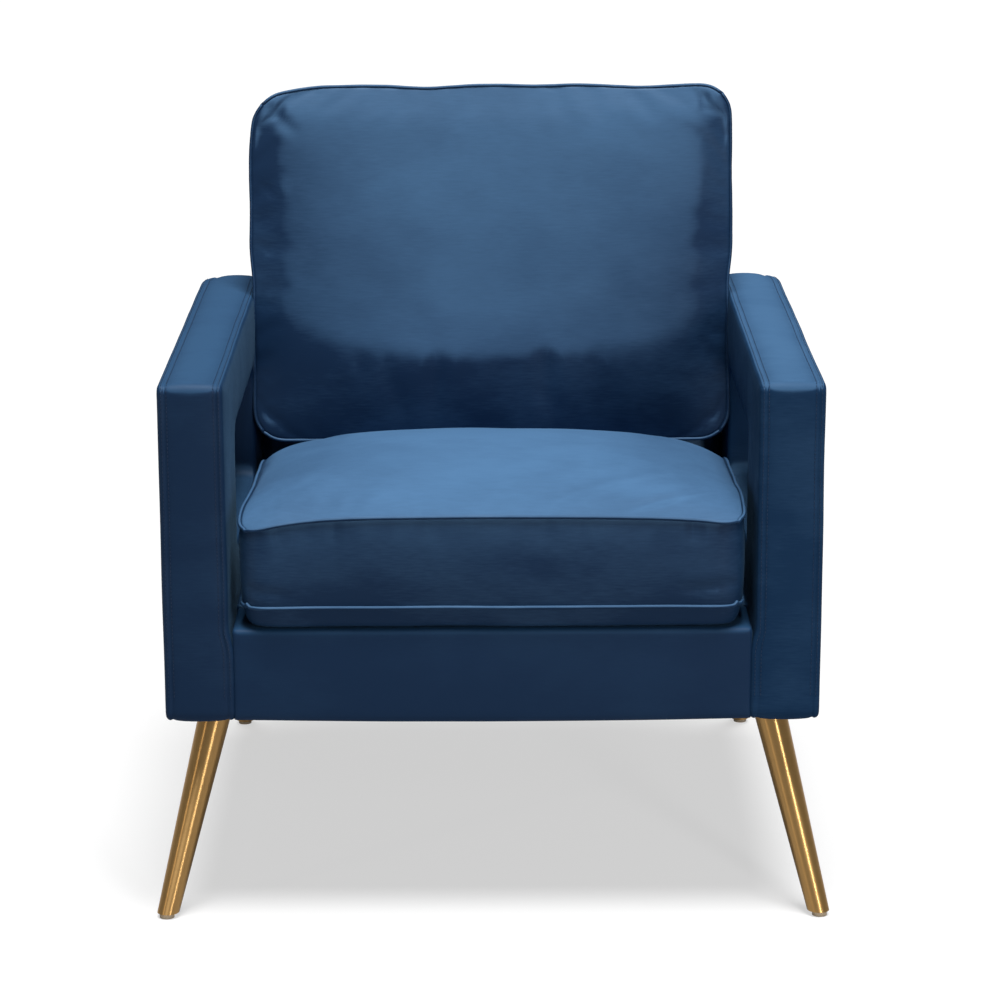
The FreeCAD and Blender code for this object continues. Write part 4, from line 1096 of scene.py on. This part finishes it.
def fold(thing, start, end, deep, width):
    """A soft crease from one point to another, deepest in its middle."""
    points = places(thing)
    start, end = np.array(start), np.array(end)
    run = end - start
    share = np.clip(((points - start) @ run) / (run @ run), 0, 1)
    away = np.linalg.norm(points - (start + share[:, None] * run), axis=1)
    profile = np.exp(-((away / width) ** 2)) - 0.45 * np.exp(-((away / (2.3 * width)) ** 2))
    ends = np.sin(math.pi * np.clip(share, 0.02, 0.98)) ** 0.7
    set_places(thing, points - normals(thing) * (deep * profile * ends)[:, None])


# %% [markdown]
# ### Seat cushion
# Its crown is highest a little in front of the middle. Behind that the back cushion presses it
# down. The piping droops towards its ends, more at the left than at the right.

# %% Seat cushion
seat_low, seat_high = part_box("seat_cushion_cover")
SEAT_HALF_W = 284.0 * MM
SEAT_FRONT, SEAT_BACK = seat_low.y + 1 * MM, seat_high.y - 3 * MM
SEAT_MIDDLE, SEAT_HALF_D = (SEAT_FRONT + SEAT_BACK) / 2, (SEAT_BACK - SEAT_FRONT) / 2
SEAT_CORNER = 27 * MM
SEAT_DRAWN_IN = 7 * MM
SEAT_LIP, LIP_ROUND = 28 * MM, 15 * MM
SEAT_UNDERSIDE = seat_low.z + 0.5 * MM
# How high the crown stands, in millimetres, at places behind the arms' fronts.
CREST = [(-5, 478), (15, 486), (50, 494), (110, 500), (200, 505), (290, 503), (345, 496),
         (395, 480), (430, 463), (462, 447), (500, 438), (560, 424)]


def seat_plan(u, v):
    """The left side is drawn in a little towards the rear."""
    x, y = rounded_place(u, v, SEAT_HALF_W, SEAT_HALF_D, SEAT_CORNER)
    drawn_in = smooth_step(0.20, SEAT_HALF_W, -x) * smooth_step(0.03, 0.16, y + SEAT_HALF_D)
    return x + SEAT_DRAWN_IN * drawn_in, y + SEAT_MIDDLE


def seat_upper(flat):
    """The crest, less what the sides drop, the front corners droop and the left side rolls."""
    across = np.abs(flat[:, 0] / SEAT_HALF_W)
    at_left = flat[:, 0] < 0
    back = (flat[:, 1] - FRONT) / MM
    pressed = smooth_step(400, 470, back)
    drop = (24 * across**8 + 15 * across**2) * (1 - 0.35 * pressed)
    droop = np.where(at_left, 13, 2) * across**6 * (1 - smooth_step(-5, 120, back))
    front_hold = 1 - smooth_step(20, 250, back)
    rolled = 12 * across**30 * at_left * smooth_step(20, 110, back)
    return (through(CREST, back) - drop * (1 - 0.72 * front_hold) - droop - rolled) * MM


def from_edge(flat):
    """How far a point lies inside the seat cushion's round-cornered edge."""
    x, y = np.abs(flat[:, 0]), np.abs(flat[:, 1] - SEAT_MIDDLE)
    past_x, past_y = x - (SEAT_HALF_W - SEAT_CORNER), y - (SEAT_HALF_D - SEAT_CORNER)
    at_corner = SEAT_CORNER - np.hypot(np.maximum(past_x, 0), np.maximum(past_y, 0))
    straight = np.minimum(SEAT_HALF_W - x, SEAT_HALF_D - y)
    return np.where((past_x > 0) & (past_y > 0), at_corner, straight)


def seat_lower(flat):
    """Flat on the deck, and turned up round the edge to the lower seam."""
    share = np.clip(1 - from_edge(flat) / LIP_ROUND, 0, 1)
    return SEAT_UNDERSIDE + SEAT_LIP * (1 - np.sqrt(1 - share**2) * 0.999) ** 1.15


def seat_side(share):
    """How far the boxing stands out."""
    return 2.2 * MM * math.sin(math.pi * share) ** 0.8


seat, seat_top_ring, seat_bottom_ring = cushion_mesh(
    "seat_cushion", 12, seat_plan, seat_upper, seat_lower, seat_side)
print(seat.name, len(seat.data.polygons), "faces before filling")

# %% Fill the seat cushion
n_panel = (CUSHION_CELLS + 1) ** 2
heights = places(seat)[:, 2]
resting = [i for i in range(n_panel, 2 * n_panel) if heights[i] < seat_low.z + 4 * MM]
fill_cushion(seat, seat_top_ring + seat_bottom_ring + resting, pressure=3.0, spare=0.0)
seat_points = places(seat)
seat_points[:, 2] = np.maximum(seat_points[:, 2], seat_low.z + 0.4 * MM)
set_places(seat, seat_points)
subdivide(seat)

# %% Folds that the seat cushion shows
seat_top_seam, seat_bottom_seam = places(seat)[seat_top_ring], places(seat)[seat_bottom_ring]
seam_puckers(seat, seat_top_seam, 0.5 * MM, 9 * MM, 0.034, 71)
seam_puckers(seat, seat_bottom_seam, 0.9 * MM, 9 * MM, 0.041, 72)
roughen(seat, (0.16, 73, 0.6 * MM), (0.05, 74, 0.12 * MM))
for start, end, deep, width in (
        ((0.15, depth(10), 0.486), (0.262, depth(70), 0.484), 2.2, 9),
        ((0.06, depth(20), 0.488), (0.215, depth(130), 0.498), 1.4, 14),
        ((-0.275, depth(8), 0.462), (-0.19, depth(110), 0.492), 1.8, 12),
        ((0.284, depth(0), 0.40), (0.21, depth(-8), 0.392), 2.4, 7),
        ((-0.284, depth(0), 0.395), (-0.225, depth(-8), 0.386), 2.0, 7)):
    fold(seat, start, end, deep * MM, width * MM)
dress(seat, "velvet", "seat_cushion", "velvet", "seat_cushion_cover", "seat_cushion_core")
print(seat.name, len(seat.data.polygons), "faces")

# %% Seat cushion piping
for word, ring, out, wander, seed in (("top", seat_top_ring, 1.6, 0.3, 61),
                                      ("bottom", seat_bottom_ring, 1.0, 0.4, 62)):
    line = piping_line(seat, ring, out * MM, wander * MM, seed)
    welt = cord_mesh(f"seat_piping_{word}", line, 2.3 * MM)
    dress(welt, "piping", "seat_cushion", "velvet", f"seat_cushion_welt_{word}")
    print(welt.name, len(welt.data.polygons), "faces")

# %% [markdown]
# ### Back cushion
# It is built lying down, face up, in its own frame, and then stood against the back panel. Above
# the arms it is a little wider than between them.

# %% Back cushion
CUSHION_LENGTH = 450 * MM
CUSHION_HALF_W, CUSHION_CORNER = 297 * MM, 36 * MM
CUSHION_EDGE = 47 * MM
CUSHION_FOOT = Vector((0, depth(522.6), 437 * MM))
CUSHION_WIDEST, CUSHION_REAR_LIMIT = 303 * MM, -64.3 * MM
FRONT_CROWN, REAR_CROWN, FOOT_SET_BACK = 18.5 * MM, 13.5 * MM, 13 * MM
STAND = Matrix.Translation(CUSHION_FOOT) @ Matrix.Rotation(math.pi / 2 - RECLINE, 4, "X")


def cushion_plan(u, v):
    """Wider above the arms, sagging at the top left corner, with an uneven top edge."""
    x, y = rounded_place(u, v, CUSHION_HALF_W, CUSHION_LENGTH / 2 - 4 * MM, CUSHION_CORNER)
    y += CUSHION_LENGTH / 2
    low = 1 - smooth_step(0.05, 0.13, y)
    x *= 1 + (4.2 * smooth_step(0.19, 0.25, y) + 0.6 * low) / 297
    sagging = smooth_step(0.20, 0.297, -x) * smooth_step(0.35, 0.44, y)
    x, y = x + 5 * MM * sagging, y - 13 * MM * sagging
    wave = 1.6 * MM * math.sin(x * 21 + 0.6) + 1.1 * MM * math.sin(x * 47 + 2.0)
    return x, y + wave * max(0.0, (y - 0.40) / 0.05)


def cushion_crown(flat):
    """How full the cushion is, 1 in its middle and 0 at its seams."""
    across = np.clip(np.abs(flat[:, 0]) / (302 * MM), 0, 1)
    up = np.clip(flat[:, 1] / (CUSHION_LENGTH / 2) - 1.0, -1, 1)
    fullest = -0.42
    up = (up - fullest) / np.where(up > fullest, 1 - fullest, 1 + fullest)
    return (1 - across**3.0) ** 0.7 * (1 - np.abs(up) ** 2.3) ** 0.75


def cushion_front(flat):
    """The crowned face, which turns in towards the cushion's foot."""
    low = 1 - smooth_step(-0.03, 0.108, flat[:, 1] - 0.07 * (flat[:, 0] / 0.3) ** 2)
    return CUSHION_EDGE + FRONT_CROWN * cushion_crown(flat) - FOOT_SET_BACK * low


def cushion_rear(flat):
    """The flatter crown that rests on the panel."""
    return -(CUSHION_EDGE + REAR_CROWN * cushion_crown(flat))


def cushion_side(share):
    """How far the boxing stands out."""
    return 1.2 * MM * math.sin(math.pi * share)


back, back_front_ring, back_rear_ring = cushion_mesh(
    "back_cushion", 10, cushion_plan, cushion_front, cushion_rear, cushion_side)
fill_cushion(back, back_front_ring + back_rear_ring, pressure=2.5, spare=0.006)
points = places(back)
points[:, 2] = np.maximum(points[:, 2], CUSHION_REAR_LIMIT)
points[:, 0] = np.clip(points[:, 0], -CUSHION_WIDEST, CUSHION_WIDEST)
set_places(back, points)
subdivide(back)

# %% Folds that the back cushion shows
front_seam, rear_seam = places(back)[back_front_ring], places(back)[back_rear_ring]
seam_puckers(back, front_seam, 0.55 * MM, 11 * MM, 0.037, 83)
seam_puckers(back, rear_seam, 0.8 * MM, 11 * MM, 0.037, 84)
roughen(back, (0.2, 85, 1.1 * MM), (0.06, 86, 0.12 * MM))
for start, end, deep, width in (
        ((-0.292, 0.33, 0.05), (-0.262, 0.30, 0.06), 1.2, 7),
        ((-0.292, 0.25, 0.05), (-0.268, 0.235, 0.06), 1.0, 7),
        ((-0.285, 0.425, 0.05), (-0.24, 0.385, 0.06), 1.2, 9),
        ((0.292, 0.03, 0.05), (0.225, 0.09, 0.062), 1.2, 10),
        ((0.296, 0.07, 0.05), (0.25, 0.15, 0.062), 1.4, 9),
        ((-0.29, 0.04, 0.05), (-0.235, 0.085, 0.062), 0.7, 10)):
    fold(back, start, end, deep * MM, width * MM)

# %% Back cushion piping, and standing it up
back_rings = (("front", back_front_ring, 81), ("rear", back_rear_ring, 82))
back_lines = {word: piping_line(back, ring, 1.0 * MM, 0.4 * MM, seed)
              for word, ring, seed in back_rings}
back.data.transform(STAND)
back.data.update()
dress(back, "velvet", "back_cushion", "velvet", "back_cushion_cover", "back_cushion_core")
print(back.name, len(back.data.polygons), "faces")
for word, line in back_lines.items():
    stood = np.array([STAND @ Vector(p) for p in line])
    welt = cord_mesh(f"back_piping_{word}", stood, 2.2 * MM)
    dress(welt, "piping", "back_cushion", "velvet", f"back_cushion_welt_{word}")
    print(welt.name, len(welt.data.polygons), "faces")

# %% [markdown]
# ## Underside
# Black lining is stapled over the seat box, cut away round the leg plates. It is a stretched
# sheet that sags a few millimetres.

# %% Dust cover
dust_low, dust_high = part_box("dust_cover")
plates = [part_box(f"leg_plate_{end}_{side}") for end in ("front", "rear") for side, _ in SIDES]
DUST_COLUMNS, DUST_ROWS = 72, 76
DUST_THICK, DUST_SAG, PLATE_GAP = 0.6 * MM, 5 * MM, 4 * MM


def drop_loose(bm):
    """Removes points that no face uses."""
    bmesh.ops.delete(bm, geom=[v for v in bm.verts if not v.link_faces], context="VERTS")


def build_dust_cover():
    """A grid without the quads that a leg plate covers, thickened."""
    xs = np.linspace(dust_low.x, dust_high.x, DUST_COLUMNS)
    ys = np.linspace(dust_low.y, dust_high.y, DUST_ROWS)
    width, length = dust_high.x - dust_low.x, dust_high.y - dust_low.y

    def kept(i, j):
        x, y = (xs[i] + xs[i + 1]) / 2, (ys[j] + ys[j + 1]) / 2
        return not any(a.x - PLATE_GAP < x < b.x + PLATE_GAP
                       and a.y - PLATE_GAP < y < b.y + PLATE_GAP for a, b in plates)

    points = []
    for x in xs:
        for y in ys:
            u, v = x / dust_high.x, 2 * (y - dust_low.y) / length - 1
            sag = DUST_SAG * (1 - u**4) * (1 - v**4)
            points.append((x, y, dust_high.z - DUST_THICK - sag))
    cloth = add_mesh("dust_cloth", points, grid_quads(DUST_COLUMNS, DUST_ROWS, kept))
    edit_mesh(cloth, drop_loose)
    cloth.modifiers.new("thickness", "SOLIDIFY").thickness = DUST_THICK
    apply_modifiers(cloth)
    turn_outward(cloth)
    dress(cloth, "lining", "chair_frame", "lining", "dust_cover")
    print(cloth.name, f"{width:.3f} x {length:.3f} m,", len(cloth.data.polygons), "faces")


build_dust_cover()

# %% [markdown]
# ## Finishes for the parts that keep their shape
# Legs, plates, screws, wood, springs and zips are already the right shape, so they only need a
# better material in their slot.

# %% Dress the frame's own nodes
SLOT_FINISH = {
    "brass": "brass", "timber": "timber", "screw_steel": "steel", "spring_steel": "wire",
    "webbing": "webbing", "glide": "plastic", "zip_metal": "steel", "zip_tape": "tape",
    "foam": "foam",
    "lining": "lining", "velvet": "velvet", "deck_cloth": "velvet",
}
slot_of = {s["node"]: s["material_slot"] for s in frame["record"]["subparts"]}
for node, thing in frame["nodes"].items():
    finish_name = "brass_rear" if node.startswith("leg_rear") else SLOT_FINISH[slot_of[node]]
    thing.data.materials.clear()
    thing.data.materials.append(MATERIALS[finish_name])
print("dressed", len(frame["nodes"]), "nodes")

# %% [markdown]
# ## Floor and light
# The floor is nearly white and glows a little, as a lit sweep does, so that it stays pale away
# from the chair and the chair's own shadow is a soft grey under it.


# %% Floor
FLOOR_REACH, FLOOR_CELLS = 40.0, 8
FLOOR_GREY = 0.30
FLOOR_GLOW, GLOW_IN_REFLECTIONS = 0.585, 0.16


def build_floor():
    """A large pale grid. It glows to the camera, far less in reflections, and lights nothing."""
    grid = np.linspace(-FLOOR_REACH, FLOOR_REACH, FLOOR_CELLS + 1)
    points = [(x, y, 0.0) for x in grid for y in grid]
    floor = add_mesh("floor", points, grid_quads(len(grid), len(grid)))
    material = bpy.data.materials.new("floor")
    material.use_nodes = True
    tree = material.node_tree
    shader = tree.nodes["Principled BSDF"]
    for socket, value in (("Base Color", (FLOOR_GREY, FLOOR_GREY, FLOOR_GREY, 1)),
                          ("Roughness", 0.9), ("Specular IOR Level", 0.0),
                          ("Emission Color", (1, 1, 1, 1))):
        shader.inputs[socket].default_value = value
    seen = tree.nodes.new("ShaderNodeLightPath")
    mirrored = math_node(tree, "MULTIPLY", seen.outputs["Is Glossy Ray"], GLOW_IN_REFLECTIONS)
    bright = math_node(tree, "MAXIMUM", seen.outputs["Is Camera Ray"], mirrored)
    glow = math_node(tree, "MULTIPLY", bright, FLOOR_GLOW)
    tree.links.new(glow, shader.inputs["Emission Strength"])
    floor.data.materials.append(material)
    print(floor.name, 2 * FLOOR_REACH, "m across")


build_floor()


# %% Lights
def new_lamp(name, kind, power, colour=(1, 1, 1)):
    """A light in the scene, and the object that holds it."""
    light = bpy.data.lights.new(name, kind)
    light.energy = power
    light.color = colour
    lamp = bpy.data.objects.new(name, light)
    scene.collection.objects.link(lamp)
    print(name, kind.lower(), power)
    return light, lamp


def softbox(name, place, target, size, power, colour=(1, 1, 1)):
    """A rectangular light that faces its target. The size is its width and height."""
    light, lamp = new_lamp(name, "AREA", power, colour)
    light.shape = "RECTANGLE"
    light.size, light.size_y = size
    aim = (Vector(target) - Vector(place)).to_track_quat("-Z", "Y")
    lamp.matrix_world = Matrix.Translation(place) @ aim.to_matrix().to_4x4()


# A broad light so far off that it falls evenly everywhere, and three soft ones in front.
overhead, overhead_lamp = new_lamp("overhead", "SUN", 4.8)
overhead.angle = math.radians(26)
overhead_lamp.rotation_euler = Vector((0.05, -0.16, 1.0)).to_track_quat("Z", "Y").to_euler()
softbox("front_right", (1.5, -3.4, 1.2), (0.2, 0, 0.3), (0.36, 1.5), 34)
softbox("front_left", (-3.2, -2.9, 1.1), (-0.2, 0, 0.3), (0.16, 1.4), 8, (1.0, 0.86, 0.66))
softbox("floor_glow", (0.9, -2.9, 0.02), (0.0, -0.4, 0.1), (1.2, 0.5), 1.0, (1.0, 0.9, 0.8))
world = bpy.data.worlds.new("studio")
world.use_nodes = True
sky = world.node_tree.nodes["Background"]
sky.inputs["Color"].default_value = (0.9, 0.95, 1, 1)
sky.inputs["Strength"].default_value = 0.10
scene.world = world
